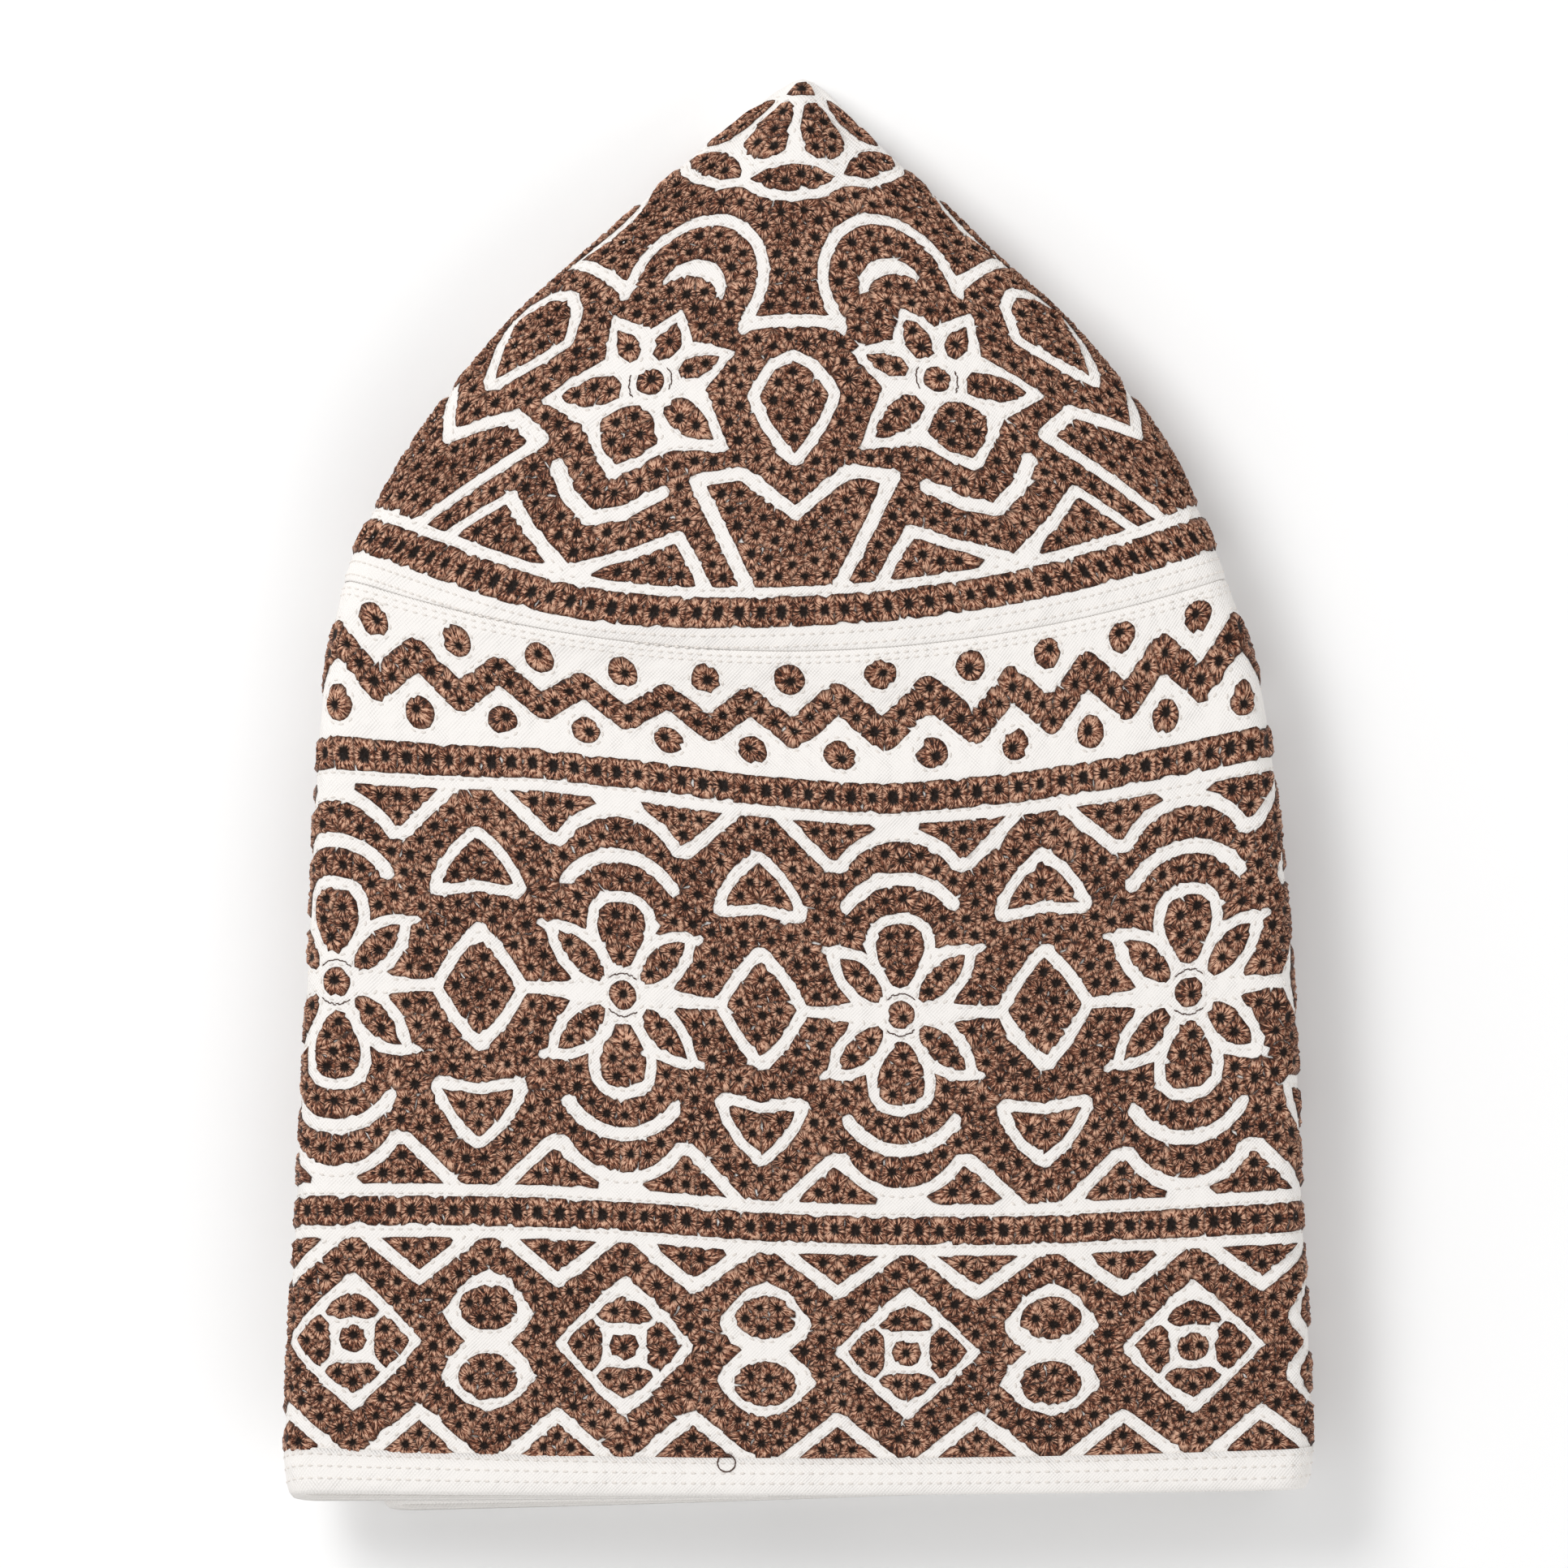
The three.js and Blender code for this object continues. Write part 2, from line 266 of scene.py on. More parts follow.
def sheetMesh(rows, closed):  # rows of (onCrown, up, offset), from the inner skin round to the outer
    loops = [sheetLoop(*row) for row in rows]
    across, count = len(loops[0][0]) - 1, len(rows) - 1 + closed
    bm = bmesh.new()
    bmesh.ops.create_grid(bm, x_segments=across, y_segments=count, size=0.5)
    uvLayer = bm.loops.layers.uv.new("cloth")
    places = {}
    for vert in bm.verts:
        i, k = round((vert.co.x + 0.5) * across), round((vert.co.y + 0.5) * count)
        points, along = loops[k % len(rows)]
        onCrown, up, _ = rows[k % len(rows)]
        places[vert] = (along[i], up * heights[onCrown])
        vert.co = points[i]
    for face in bm.faces:
        for corner in face.loops:
            corner[uvLayer].uv = places[corner.vert]
    bmesh.ops.remove_doubles(bm, verts=bm.verts, dist=fold["weld"])
    bmesh.ops.recalc_face_normals(bm, faces=bm.faces)
    return bm


def linear(code):  # an sRGB hex colour as linear RGBA
    parts = [int(code[i:i + 2], 16) / 255 for i in (0, 2, 4)]
    return (*(c / 12.92 if c <= 0.04045 else ((c + 0.055) / 1.055) ** 2.4 for c in parts), 1)


def newMaterial(name):
    material = bpy.data.materials.new(name)
    material.use_nodes = True
    tree = material.node_tree
    return material, tree, tree.nodes["Principled BSDF"]


def addNode(tree, kind, settings=None, **inputs):  # a node with its settings, its values and its links
    node = tree.nodes.new("ShaderNode" + kind)
    for name, value in (settings or {}).items():
        setattr(node, name, value)
    for name, value in inputs.items():
        numbered = name[0] == "i" and name[1:].isdigit()
        socket = node.inputs[int(name[1:]) if numbered else name]
        if isinstance(value, bpy.types.NodeSocket):
            tree.links.new(value, socket)
        else:
            socket.default_value = value
    return node


def calc(tree, operation, *values):
    return addNode(tree, "Math", {"operation": operation},
                   **{f"i{n}": value for n, value in enumerate(values)}).outputs[0]


def noise(tree, where, scale, detail, roughness=0.5):
    node = addNode(tree, "TexNoise", Vector=where, Scale=scale, Detail=detail, Roughness=roughness)
    return node.outputs[0]


def rising(tree, value, reach, most=1.0):  # 0 up to the near end of a reach, and most from its far end on
    return addNode(tree, "MapRange", i0=value, i1=reach[0], i2=reach[1], i3=0.0, i4=most).outputs[0]


def blend(tree, share, first, second):
    return addNode(tree, "Mix", {"data_type": "RGBA"}, i0=share, i6=first, i7=second).outputs[2]


def setShader(shader, colour, roughness, specular=0.5):
    if colour:
        shader.inputs["Base Color"].default_value = linear(colour)
    shader.inputs["Roughness"].default_value = roughness
    shader.inputs["Specular IOR Level"].default_value = specular


weave = {
    "pitch": 0.5 * mm,  # real threads lie about 0.3 mm apart, too fine to show
    "rise": 0.045,  # all rises in millimetres
    "wrinkle": 1.6,
    "wrinklesPerMetre": 75,
    "pucker": 0.5,
    "puckersPerMetre": 420,
    "roughness": 0.88,
    "specular": 0.25,
}


def whiteCotton(name, colour, woven):  # bleached cotton, plain weave: matt, with a trace of warmth
    material, tree, shader = newMaterial(name)
    setShader(shader, colour, weave["roughness"], weave["specular"])
    where = addNode(tree, "TexCoord").outputs["Object"]
    wrinkle = noise(tree, where, weave["wrinklesPerMetre"], 2.0)
    pucker = calc(tree, "MULTIPLY", noise(tree, where, weave["puckersPerMetre"], 1.0), weave["pucker"])
    height = calc(tree, "MULTIPLY_ADD", wrinkle, weave["wrinkle"], pucker)
    if woven:
        uv = addNode(tree, "UVMap", {"uv_map": "cloth"}).outputs[0]
        sides = addNode(tree, "SeparateXYZ", i0=uv).outputs
        turns = [calc(tree, "MULTIPLY", sides[n], 2 * pi / weave["pitch"]) for n in (0, 1)]
        warp, weft = (calc(tree, "SINE", turn) for turn in turns)
        height = calc(tree, "MULTIPLY_ADD", calc(tree, "MULTIPLY", warp, weft), weave["rise"], height)
    bump = addNode(tree, "Bump", Strength=1.0, Distance=mm, Height=height)
    tree.links.new(bump.outputs[0], shader.inputs["Normal"])
    return material


cotton = whiteCotton("bleached_cotton", "F8F4F0", True)
tuckedIn = 1 * mm  # the band runs on into the turned hem
bandUps = np.linspace((fold["hemHeight"] - tuckedIn) / fold["bandHeight"], 0.994, steps["bandRows"])
halfWall = fold["wall"] / 2
dips = (0.08 * mm, 0.2 * mm)  # the outer skin sinks in two steps into the crown seam
bandRows = [(False, up, -halfWall) for up in bandUps[::-1]] + [(False, up, halfWall) for up in bandUps]
bandRows += [(False, 0.998, halfWall - dips[0]), (False, 0.9999, halfWall - dips[1])]
bandCloth = clothPiece("band_cloth", sheetMesh(bandRows, True), "side_band")

# Share of the hem's height, and share of its thickness: a rounded lower edge
hemShape = ((0.03, 0.5), (0.12, 0.85), (0.3, 1), (0.6, 1), (1, 1))
hemShare, halfHem = fold["hemHeight"] / fold["bandHeight"], fold["hemWall"] / 2
hemRows = [(False, up * hemShare, -thick * halfHem) for up, thick in hemShape[::-1]]
hemRows += [(False, up * hemShare, thick * halfHem) for up, thick in hemShape]
hemCloth = clothPiece("hem_cloth", sheetMesh(hemRows, True), "hem")

crownStart, crownEnd, innerEnd = 0.009, 0.992, 0.911
crownUps = crownStart + (crownEnd - crownStart) * np.sin(np.linspace(0, pi / 2, steps["crownRows"]))
crownRows = [(True, up, -halfWall) for up in crownUps[::-1] if up < innerEnd]
crownRows += [(True, 0.0001, halfWall - dips[1]), (True, 0.003, halfWall - dips[0])]
crownRows += [(True, up, halfWall) for up in crownUps]


def extruded(bm, edges):  # the new points of an extruded rim
    made = bmesh.ops.extrude_edge_only(bm, edges=edges)["geom"]
    return [item for item in made if isinstance(item, bmesh.types.BMVert)]


def closeEnds(bm, tipHeight):  # the outer skin runs to the point, and the inner skin ends below it
    rims = {True: [], False: []}
    nearPoint = max(v.co.y for v in bm.verts) - fold["nearPoint"]
    for edge in bm.edges:
        if edge.is_boundary:
            rims[edge.verts[0].co.y > nearPoint].append(edge)
    for atPoint, edges in rims.items():
        verts = extruded(bm, edges)
        middle = sum((v.co for v in verts), Vector()) / len(verts)
        middle.y = tipHeight if atPoint else max(v.co.y for v in verts) + fold["innerPoint"]
        bmesh.ops.pointmerge(bm, verts=verts, merge_co=middle)
    bmesh.ops.recalc_face_normals(bm, faces=bm.faces)
    return bm


crownMesh = closeEnds(sheetMesh(crownRows, False), cadBox[1][1])
crownCloth = clothPiece("crown_cloth", crownMesh, "crown")
print("cloth folded")

thread = {
    "strands": 42,  # round one eyelet
    "strandRun": 0.9,  # how fast a strand changes along its length
    "strandShare": 0.8,
    "speckles": 2400.0,  # to the metre
    "speckleShare": 0.45,
    "toneShare": 0.05,  # how far one eyelet differs from the next
    "toneRun": 60.0,  # how far apart the strands of two eyelets lie in the noise
    # dark, middle and light stops: the light one is a painted glint on the strands, the dark one painted
    # shade between them
    "glintAndShadeStops": ((0.54, "27130B"), (0.643, "824C35"), (0.758, "E1B397")),
    "seam": "2E1A11",  # painted shade between the stitches of neighbouring eyelets and beside the white, over the thread's partly dark ends
    "seamReach": (0.89, 1.29),  # shares of a stitch's length
    "seamSpeckle": 0.5,
    "seamShare": 0.95,
    # near-black pit: painted shade inside the hole that each eyelet pierces
    "pit": "150803",
    "pitShadeReach": (0.44, 0.92),  # millimetres over which the pit's painted shade turns to thread
    "pitShadeStar": 0.45,  # how unevenly the strands reach into the pit
    "rise": 0.25 * mm,
    "strength": 0.8,
    "roughness": 0.5,
    "specular": 0.2,
}


def brownThreadMaterial():  # mercerised cotton: satin stitches, with glints on the strands and shade between them painted into the colour
    material, tree, shader = newMaterial("mercerised_thread_painted_light")
    setShader(shader, None, thread["roughness"], thread["specular"])
    uv = addNode(tree, "UVMap", {"uv_map": "stitches"}).outputs[0]
    sides = addNode(tree, "SeparateXYZ", i0=uv).outputs
    turn, reach = sides[0], sides[1]
    tone, away = (addNode(tree, "Attribute", {"attribute_name": name}).outputs["Fac"]
                  for name in ("tone", "away"))
    where = addNode(tree, "TexCoord").outputs["Object"]
    place = addNode(tree, "CombineXYZ", i0=calc(tree, "MULTIPLY", turn, thread["strands"]),
                    i1=calc(tree, "MULTIPLY", reach, thread["strandRun"]),
                    i2=calc(tree, "MULTIPLY", tone, thread["toneRun"])).outputs[0]
    strand = noise(tree, place, 1.0, 1.5, 0.6)
    speckle = noise(tree, where, thread["speckles"], 2.0, 0.6)
    mixed = calc(tree, "MULTIPLY", strand, thread["strandShare"])
    mixed = calc(tree, "MULTIPLY_ADD", speckle, thread["speckleShare"], mixed)
    toned = calc(tree, "MULTIPLY_ADD", tone, thread["toneShare"], mixed)
    # Where the bump stands high the ramp paints a glint, and where it lies low it paints shade, over the
    # strands' real unevenness of tone
    ramp = addNode(tree, "ValToRGB", i0=toned)
    elements = ramp.color_ramp.elements
    elements.new(0.5)
    for element, (position, code) in zip(elements, thread["glintAndShadeStops"]):
        element.position = position
        element.color = linear(code)
    # Darker at the stitches' outer ends, where eyelets meet and beside the white: partly the thread's real
    # dark ends, partly painted shade in the valleys
    edge = calc(tree, "MULTIPLY_ADD", speckle, thread["seamSpeckle"], away)
    seam = rising(tree, edge, thread["seamReach"], thread["seamShare"])
    seamed = blend(tree, seam, ramp.outputs[0], linear(thread["seam"]))
    # Painted shade fills each pit, standing in for the dark inside of the hole
    starry = calc(tree, "MULTIPLY_ADD", calc(tree, "SUBTRACT", strand, 0.5), thread["pitShadeStar"], reach)
    shade = blend(tree, rising(tree, starry, thread["pitShadeReach"]), linear(thread["pit"]), seamed)
    tree.links.new(shade, shader.inputs["Base Color"])
    bump = addNode(tree, "Bump", Strength=thread["strength"], Distance=thread["rise"], Height=mixed)
    tree.links.new(bump.outputs[0], shader.inputs["Normal"])
    return material


brownThread = brownThreadMaterial()

# Embroidery. The pattern is charted in millimetres on the flat cloth, one repeat of each zone,
# as white lines and as brown islands with a white rim. Eyelets are then sown over what is left brown.
stitch = {
    "spacing": 2.36,  # between the pits of neighbouring eyelets
    "crowded": 2.15,
    "rowSpacing": 2.9,
    "edgeRoom": 0.95,  # least distance from a pit to the white
    "gap": 1.95,  # a bare place further than this from any pit gets another eyelet
    "longest": 3.6,  # reach of the longest satin stitch
    "scallop": 0.2,  # how much shorter stitches are beside the white, between two eyelets
    "loose": (0.1, 0.82),  # a share of the stitches end short, and leave a speck of white bare
    "pit": 0.54,
    "tallPit": 0.6,  # a pit in a row is this much longer than wide
    "pitSizes": (0.85, 1.2),
    "crest": 0.52,  # where along a stitch it stands highest
    "high": 0.5,
    "pitHigh": 0.11,
    "middleHigh": 0.02,
    "edgeHigh": 0.04,  # beside the white
    "innerHigh": 0.2,  # where stitches of two eyelets meet
    "overlap": 1.05,
    "lengths": (0.96, 1.04),  # unevenness of the stitches' length, the pit's edge and the height
    "pitEdges": (0.88, 1.12),
    "heights": (0.75, 1.2),
    "mostPit": 0.5,  # share of a stitch that the pit may take
    "away": (0, 0.2, 0.6, 1),  # share of the way out at the middle, the pit, the crest and the end
    "around": 20,  # stitches of one eyelet
    "directions": 80,  # looked along from each pit
    "march": 0.12,
    "start": 0.3,  # where the looking starts
    "shortest": 0.2,
    "scallopReach": 0.5,
    "cell": 0.15,  # of the chart's raster
    "pastFold": 13,  # the embroidery is followed this far past a fold
}
sowing = {
    "step": 0.4,  # between the places tried
    "jitter": 0.15,
    "turns": 40,
    "slack": 0.15,  # added to the spacing while eyelets push apart
    "push": 0.35,
    "wallReach": 1.4,  # the white pushes eyelets that are nearer than this
    "mostSteer": 1.2,
    "steer": 0.5,
    "probe": 0.3,
    "leastRoom": 0.55,  # an eyelet nearer to the white is dropped
    "favour": (0.15, 2.2),  # places far from the white come sooner: how much, and up to which room
}
outOfReach, mostRoom = 99.0, 9.0
random = np.random.default_rng(7)


def oval(x, y, long, wide, turn=0, count=20):
    angle = np.linspace(0, 2 * pi, count, endpoint=False)
    a, b = long * np.cos(angle), wide * np.sin(angle)
    turn = radians(turn)
    return [(x + i * cos(turn) - j * sin(turn), y + i * sin(turn) + j * cos(turn)) for i, j in zip(a, b)]


def bow(x, y, radius, start, end, count=11):
    angle = np.radians(np.linspace(start, end, count))
    return [(x + radius * cos(a), y + radius * sin(a)) for a in angle]


def bothSides(points, closed=True):  # a half outline from its axis, mirrored to the other side
    other = [(-x, y) for x, y in reversed(points) if not (closed and x == 0)]
    return points + other if closed else other[:-1 if points[0][0] == 0 else None] + points


def aside(points, x, y=0):
    return [(a + x, b + y) for a, b in points]


# Zone of flowers: 0, 0 is a flower's middle. The chart is a quarter, mirrored across and upwards.
flowerChart = [
    ("line", 1.6, [(-2, 26.95), (22, 26.95)]),
    ("line", 1.65, [(17.2, 27.2), (9.7, 20.2), *bow(0, 15.4, 9.3, 30, 90, 7)]),
    ("line", 1.75, bow(0, 9.9, 8.8, 33, 90, 7)),
    ("line", 3.0, [(0, 0), (6.6, 0)]),
    ("line", 2.1, [(6, 0), (9.4, 0)]),
    ("line", 1.5, [(9, 0), (13.4, 0)]),
    ("line", 0.9, [(8.8, 7.8), (11.1, 8.7)]),
    ("island", 1.4, oval(0, 0, 1.95, 2.0)),
    ("island", 1.35, bothSides([(0, 12.6), (2.0, 12.2), (3.1, 11.1), (3.4, 9.3), (3.0, 7.5), (2.1, 5.6),
        (1.2, 4.0), (0, 3.6)])),
    ("island", 1.3, [(2.4, 2.1), (2.6, 3.6), (3.6, 5.5), (5.3, 7.0), (7.3, 7.8), (9.0, 8.0), (8.5, 6.1),
        (7.6, 4.3), (6.2, 2.8), (4.4, 1.8), (3.1, 1.5)]),
    ("island", 1.5, aside([(0, 6.9), (-2.6, 3.9), (-4.9, 0.3), (-4.9, -0.3), (-2.6, -3.9), (0, -6.9),
        (2.6, -3.9), (4.9, -0.3), (4.9, 0.3), (2.6, 3.9)], 19.5)),
    ("island", 1.35, aside([(0, 20.0), (-2.5, 17.8), (-4.3, 15.2), (-5.2, 13.3), (0, 14.2), (5.2, 13.3),
        (4.3, 15.2), (2.5, 17.8)], 19.5)),
]
# Zone of diamonds, above the hem. 0, 0 is a diamond's middle, and the chart is the right half.
diamondChart = [
    ("line", 1.45, [(-2, 14.3), (22, 14.3)]),
    ("line", 1.7, [(1.2, 14.4), (9.4, 8.2), (17.8, 14.4)]),
    ("line", 1.7, [(1.6, -15.6), (9.4, -9.3), (17.4, -15.6)]),
    ("ground", 0, bothSides([(0, 9.3), (4.6, 5.2), (9.8, 0), (4.6, -5.3), (0, -9.5)])),
    ("island", 0, oval(0, 0, 2.2, 2.15)),
    ("island", 0, bothSides([(0, 6.6), (2.4, 5.5), (4.0, 4.0), (3.7, 3.2), (2.1, 2.8), (0, 3.0)])),
    ("island", 0, bothSides([(0, -7.1), (2.4, -5.8), (4.1, -4.1), (3.7, -3.3), (2.1, -2.9), (0, -3.0)])),
    ("island", 0, [(8.2, 0.2), (7.0, 1.6), (5.3, 3.2), (4.5, 3.5), (3.2, 2.2), (2.9, 0), (3.2, -2.3),
        (4.4, -3.7), (5.3, -3.4), (7.0, -1.6)]),
    ("ground", 0, aside(bothSides([(0, 9.5), (2.8, 8.2), (6.4, 3.9), (5.6, 2.2), (3.2, 0), (5.6, -2.3),
        (6.8, -4.7), (3.2, -8.0), (0, -9.1)]), 19.25)),
    ("island", 0, oval(19.25, 4.6, 4.25, 3.05)),
    ("island", 0, oval(19.25, -4.6, 4.3, 3.2)),
]
# Zigzag between two rows of dots, under the crown seam. 0, 0 is midway in the zigzag, above a low dot.
zigzagChart = [
    ("ground", 0, [(-9, -12), (15, -12), (15, 12), (-9, 12)]),
    ("row", 3.7, [(-5.7, -2.4), (0, 2.4), (5.7, -2.4), (11.4, 2.4)]),
    ("island", 0, oval(0, -4.9, 2.05, 2.05)),
    ("island", 0, oval(5.7, 5.1, 2.05, 2.05)),
]


def polar(*pairs):  # distance from the crown's point, and degrees from the sector's axis
    return [(r * sin(radians(a)), r * cos(radians(a))) for r, a in pairs]


def onAxis(degreesOver, points):  # points charted beside an axis, as (sideways, along), turned to it
    turn = radians(degreesOver)
    return [(x * cos(turn) + y * sin(turn), y * cos(turn) - x * sin(turn)) for x, y in points]


halfSector = 180 / 7
crownFlower = 44.9  # from the crown's point to a flower's middle


def onFlower(kind, points, mirrored=True):  # a shape on the axis of a crown flower
    return kind, 0, onAxis(halfSector, bothSides(points) if mirrored else points)


# Crown: seven sectors about the point, which is 0, 0. The chart is half a sector, between two mirror axes.
crownChart = [
    ("ground", 0, oval(0, 0, 13, 13, 0, 40)),
    onFlower("island", [(0, 3.3), (1.2, 3.8), (2.6, 6.6), (3.1, 9.6), (2.0, 11.3), (0, 11.9)]),
    ("island", 1.25, bothSides([(0, 15.9), (3.3, 15.3), (6.1, 13.3), (3.0, 12.1), (0, 11.9)])),
    ("line", 1.5, onAxis(halfSector, [(-8.9, 34.0), *bow(0, 29.8, 8.9, 180, 270, 9)])),
    ("line", 1.6, polar((33.6, -1), (33.7, 5), (34.5, 10.3))),
    onFlower("ground", [(0, 26.8), (1.8, 27.1), (3.4, 28.3), (4.3, 30.0), (4.4, 31.7), (3.2, 30.3),
        (1.7, 29.4), (0, 29.2)]),
    onFlower("ground", [(0, 34.1), (3.1, 38.0), (9.2, 37.2), (7.5, 43.5), (14.2, 49.9), (6.6, 52.2),
        (0, 57.9)]),
    onFlower("island", oval(0, crownFlower, 2.0, 1.85), False),
    onFlower("island", [(0, 35.8), (1.1, 36.6), (2.0, 39.2), (1.4, 41.5), (0, 41.9)]),
    onFlower("island", [(-7.9, 38.4), (-7.3, 40.6), (-5.9, 42.4), (-3.9, 43.2), (-2.9, 42.3), (-3.2, 40.6),
        (-4.9, 39.3)], False),
    onFlower("island", [(-3.7, 46.1), (-5.2, 45.3), (-8.2, 46.1), (-10.8, 48.0), (-11.9, 49.4),
        (-10.2, 49.9), (-7.2, 50.0), (-4.8, 49.2), (-3.2, 47.9)], False),
    onFlower("island", [(0, 56.0), (2.7, 54.4), (4.3, 52.2), (4.4, 50.9), (2.0, 48.7), (0, 48.1)]),
    ("island", 1.45, bothSides([(0, 39.1), (2.5, 40.3), (4.9, 43.8), (3.2, 47.6), (0, 52.0)])),
    ("line", 1.7, [(5.7, 71.0), (13.5, 54.4), (7.2, 54.2), (0, 60.0)]),
    ("line", 1.8, onAxis(halfSector, [(-7.9, 57.6), (-4.4, 61.0), (0, 63.1)])),
    ("line", 1.4, polar((70.6, 9.4), (63.5, 14.3), (66.6, 19.5), (69.9, 25.8))),
    ("line", 1.3, polar(*((70.65, a) for a in range(-2, 31, 2)))),
]


def strokeDistance(points, x, y, closed):
    pairs = list(zip(points, points[1:] + points[:1] if closed else points[1:]))
    nearest, within = np.full(x.shape, outOfReach), np.zeros(x.shape, bool)
    for (x0, y0), (x1, y1) in pairs:
        dx, dy = x1 - x0, y1 - y0
        t = np.clip(((x - x0) * dx + (y - y0) * dy) / (dx * dx + dy * dy), 0, 1)
        nearest = np.minimum(nearest, np.hypot(x - x0 - t * dx, y - y0 - t * dy))
        if closed and y0 != y1:
            within ^= ((y0 > y) != (y1 > y)) & (x < x0 + (y - y0) * dx / dy)
    return nearest, within


def brownRoom(chart, x, y):  # distance to the nearest white, negative in the white
    openRoom, islandRoom = np.full(x.shape, mostRoom), np.full(x.shape, -mostRoom)
    for kind, size, points in chart:
        nearest, within = strokeDistance(points, x, y, kind in ("island", "ground"))
        if kind == "line":
            openRoom = np.minimum(openRoom, nearest - size / 2)
        elif kind == "row":
            islandRoom = np.maximum(islandRoom, size / 2 - nearest)
        elif kind == "ground":
            openRoom = np.minimum(openRoom, np.where(within, -nearest, nearest))
        else:
            inner = np.where(within, nearest, -nearest)
            islandRoom = np.maximum(islandRoom, inner)
            openRoom = np.minimum(openRoom, -inner - size)
    return np.maximum(openRoom, islandRoom)


def lookUp(table, i, j):  # column i and row j of a table, blended from four neighbours
    i, j = np.clip(i, 0, table.shape[1] - 1.001), np.clip(j, 0, table.shape[0] - 1.001)
    a, b = i.astype(int), j.astype(int)
    s, t = ((f.reshape(f.shape + (1,) * (table.ndim - 2))) for f in (i - a, j - b))
    low, high = (table[row, a] * (1 - s) + table[row, a + 1] * s for row in (b, b + 1))
    return low * (1 - t) + high * t


def rasterOf(chart, x0, x1, y0, y1):  # the room worked out once on a fine grid, then looked up
    cell = stitch["cell"]
    xs, ys = np.arange(x0 - cell, x1 + 2 * cell, cell), np.arange(y0 - cell, y1 + 2 * cell, cell)
    grid = brownRoom(chart, *np.meshgrid(xs, ys))
    return lambda x, y: lookUp(grid, (x - xs[0]) / cell, (y - ys[0]) / cell)


def wave(value, repeat):  # folds a length onto half a repeat
    return np.abs((value + repeat / 2) % repeat - repeat / 2)


repeats = {"flowers": 39.0, "diamonds": 38.5, "zigzag": 11.4}
flowerRaster = rasterOf(flowerChart, 0, repeats["flowers"] / 2, 0, 27.75)
diamondRaster = rasterOf(diamondChart, 0, repeats["diamonds"] / 2, -15, 15)
zigzagRaster = rasterOf(zigzagChart, 0, repeats["zigzag"] / 2, -8, 8)
crownRaster = rasterOf(crownChart, 0, 36, 0, 72)
crownEdge = 71.3


def crownRoom(x, y):
    r, a = np.hypot(x, y), wave(np.degrees(np.arctan2(x, y)), 2 * halfSector)
    return np.minimum(crownRaster(r * np.sin(np.radians(a)), r * np.cos(np.radians(a))), crownEdge - r)


# Where each zone lies on the band, in millimetres above the hem's edge, how far it and its edges
# reach from there, where its first eyelets are, and its room
bandZones = {
    "flowers": {"middle": 66.7, "reach": 27.75, "edges": 28, "seeds": ((9.5, 24.5), (9.5, -24.5)),
                "room": lambda p, q: flowerRaster(wave(p, repeats["flowers"]), np.abs(q))},
    "diamonds": {"middle": 20.0, "reach": 15.0, "edges": 16, "seeds": ((9.4, 12.1), (9.4, -13.2)),
                 "room": lambda p, q: np.minimum(diamondRaster(wave(p, repeats["diamonds"]), q), q + 15)},
    "zigzag": {"middle": 107.1, "reach": 7.5, "edges": 8, "seeds": (),
               "room": lambda p, q: zigzagRaster(wave(p, repeats["zigzag"]), q)},
}


def relax(x, y, room):  # eyelets push each other apart and away from the white
    e = sowing["probe"]
    for _ in range(sowing["turns"]):
        dx, dy = x[:, None] - x[None, :], y[:, None] - y[None, :]
        apart = np.hypot(dx, dy) + outOfReach * np.eye(len(x))
        push = np.clip(stitch["spacing"] + sowing["slack"] - apart, 0, 1) * sowing["push"] / apart
        x, y = x + (dx * push).sum(1), y + (dy * push).sum(1)
        here = room(x, y)
        gx = (room(x + e, y) - room(x - e, y)) / (2 * e)
        gy = (room(x, y + e) - room(x, y - e)) / (2 * e)
        steer = np.clip(sowing["wallReach"] - here, 0, sowing["mostSteer"]) * sowing["steer"]
        x, y = x + gx * steer, y + gy * steer
    return x, y


def sow(room, width, reach, seeds=()):  # eyelets over a zone's brown, with half its width and height
    step, jitter = sowing["step"], sowing["jitter"]
    xs, ys = np.meshgrid(np.arange(-width, width, step), np.arange(-reach, reach, step))
    xs, ys = (a.ravel() + random.uniform(-jitter, jitter, a.size) for a in (xs, ys))
    free = room(xs, ys)
    xs, ys, free = (a[free > stitch["edgeRoom"]] for a in (xs, ys, free))
    x, y = (np.array([seed[n] for seed in seeds]) for n in (0, 1))
    share, most = sowing["favour"]
    for spacing in (stitch["crowded"], stitch["gap"]):
        bare = np.full(len(xs), outOfReach)
        for a, b in zip(x, y):
            bare = np.minimum(bare, np.hypot(xs - a, ys - b))
        favour = random.uniform(0, 1, len(xs)) + share * np.clip(free, 0, most)
        while bare.max() > spacing:
            pick = np.argmax(np.where(bare > spacing, favour, -1))
            x, y = np.append(x, xs[pick]), np.append(y, ys[pick])
            bare = np.minimum(bare, np.hypot(xs - xs[pick], ys - ys[pick]))
        x, y = relax(x, y, room)
        keep = room(x, y) > sowing["leastRoom"]
        x, y = x[keep], y[keep]
    return x, y


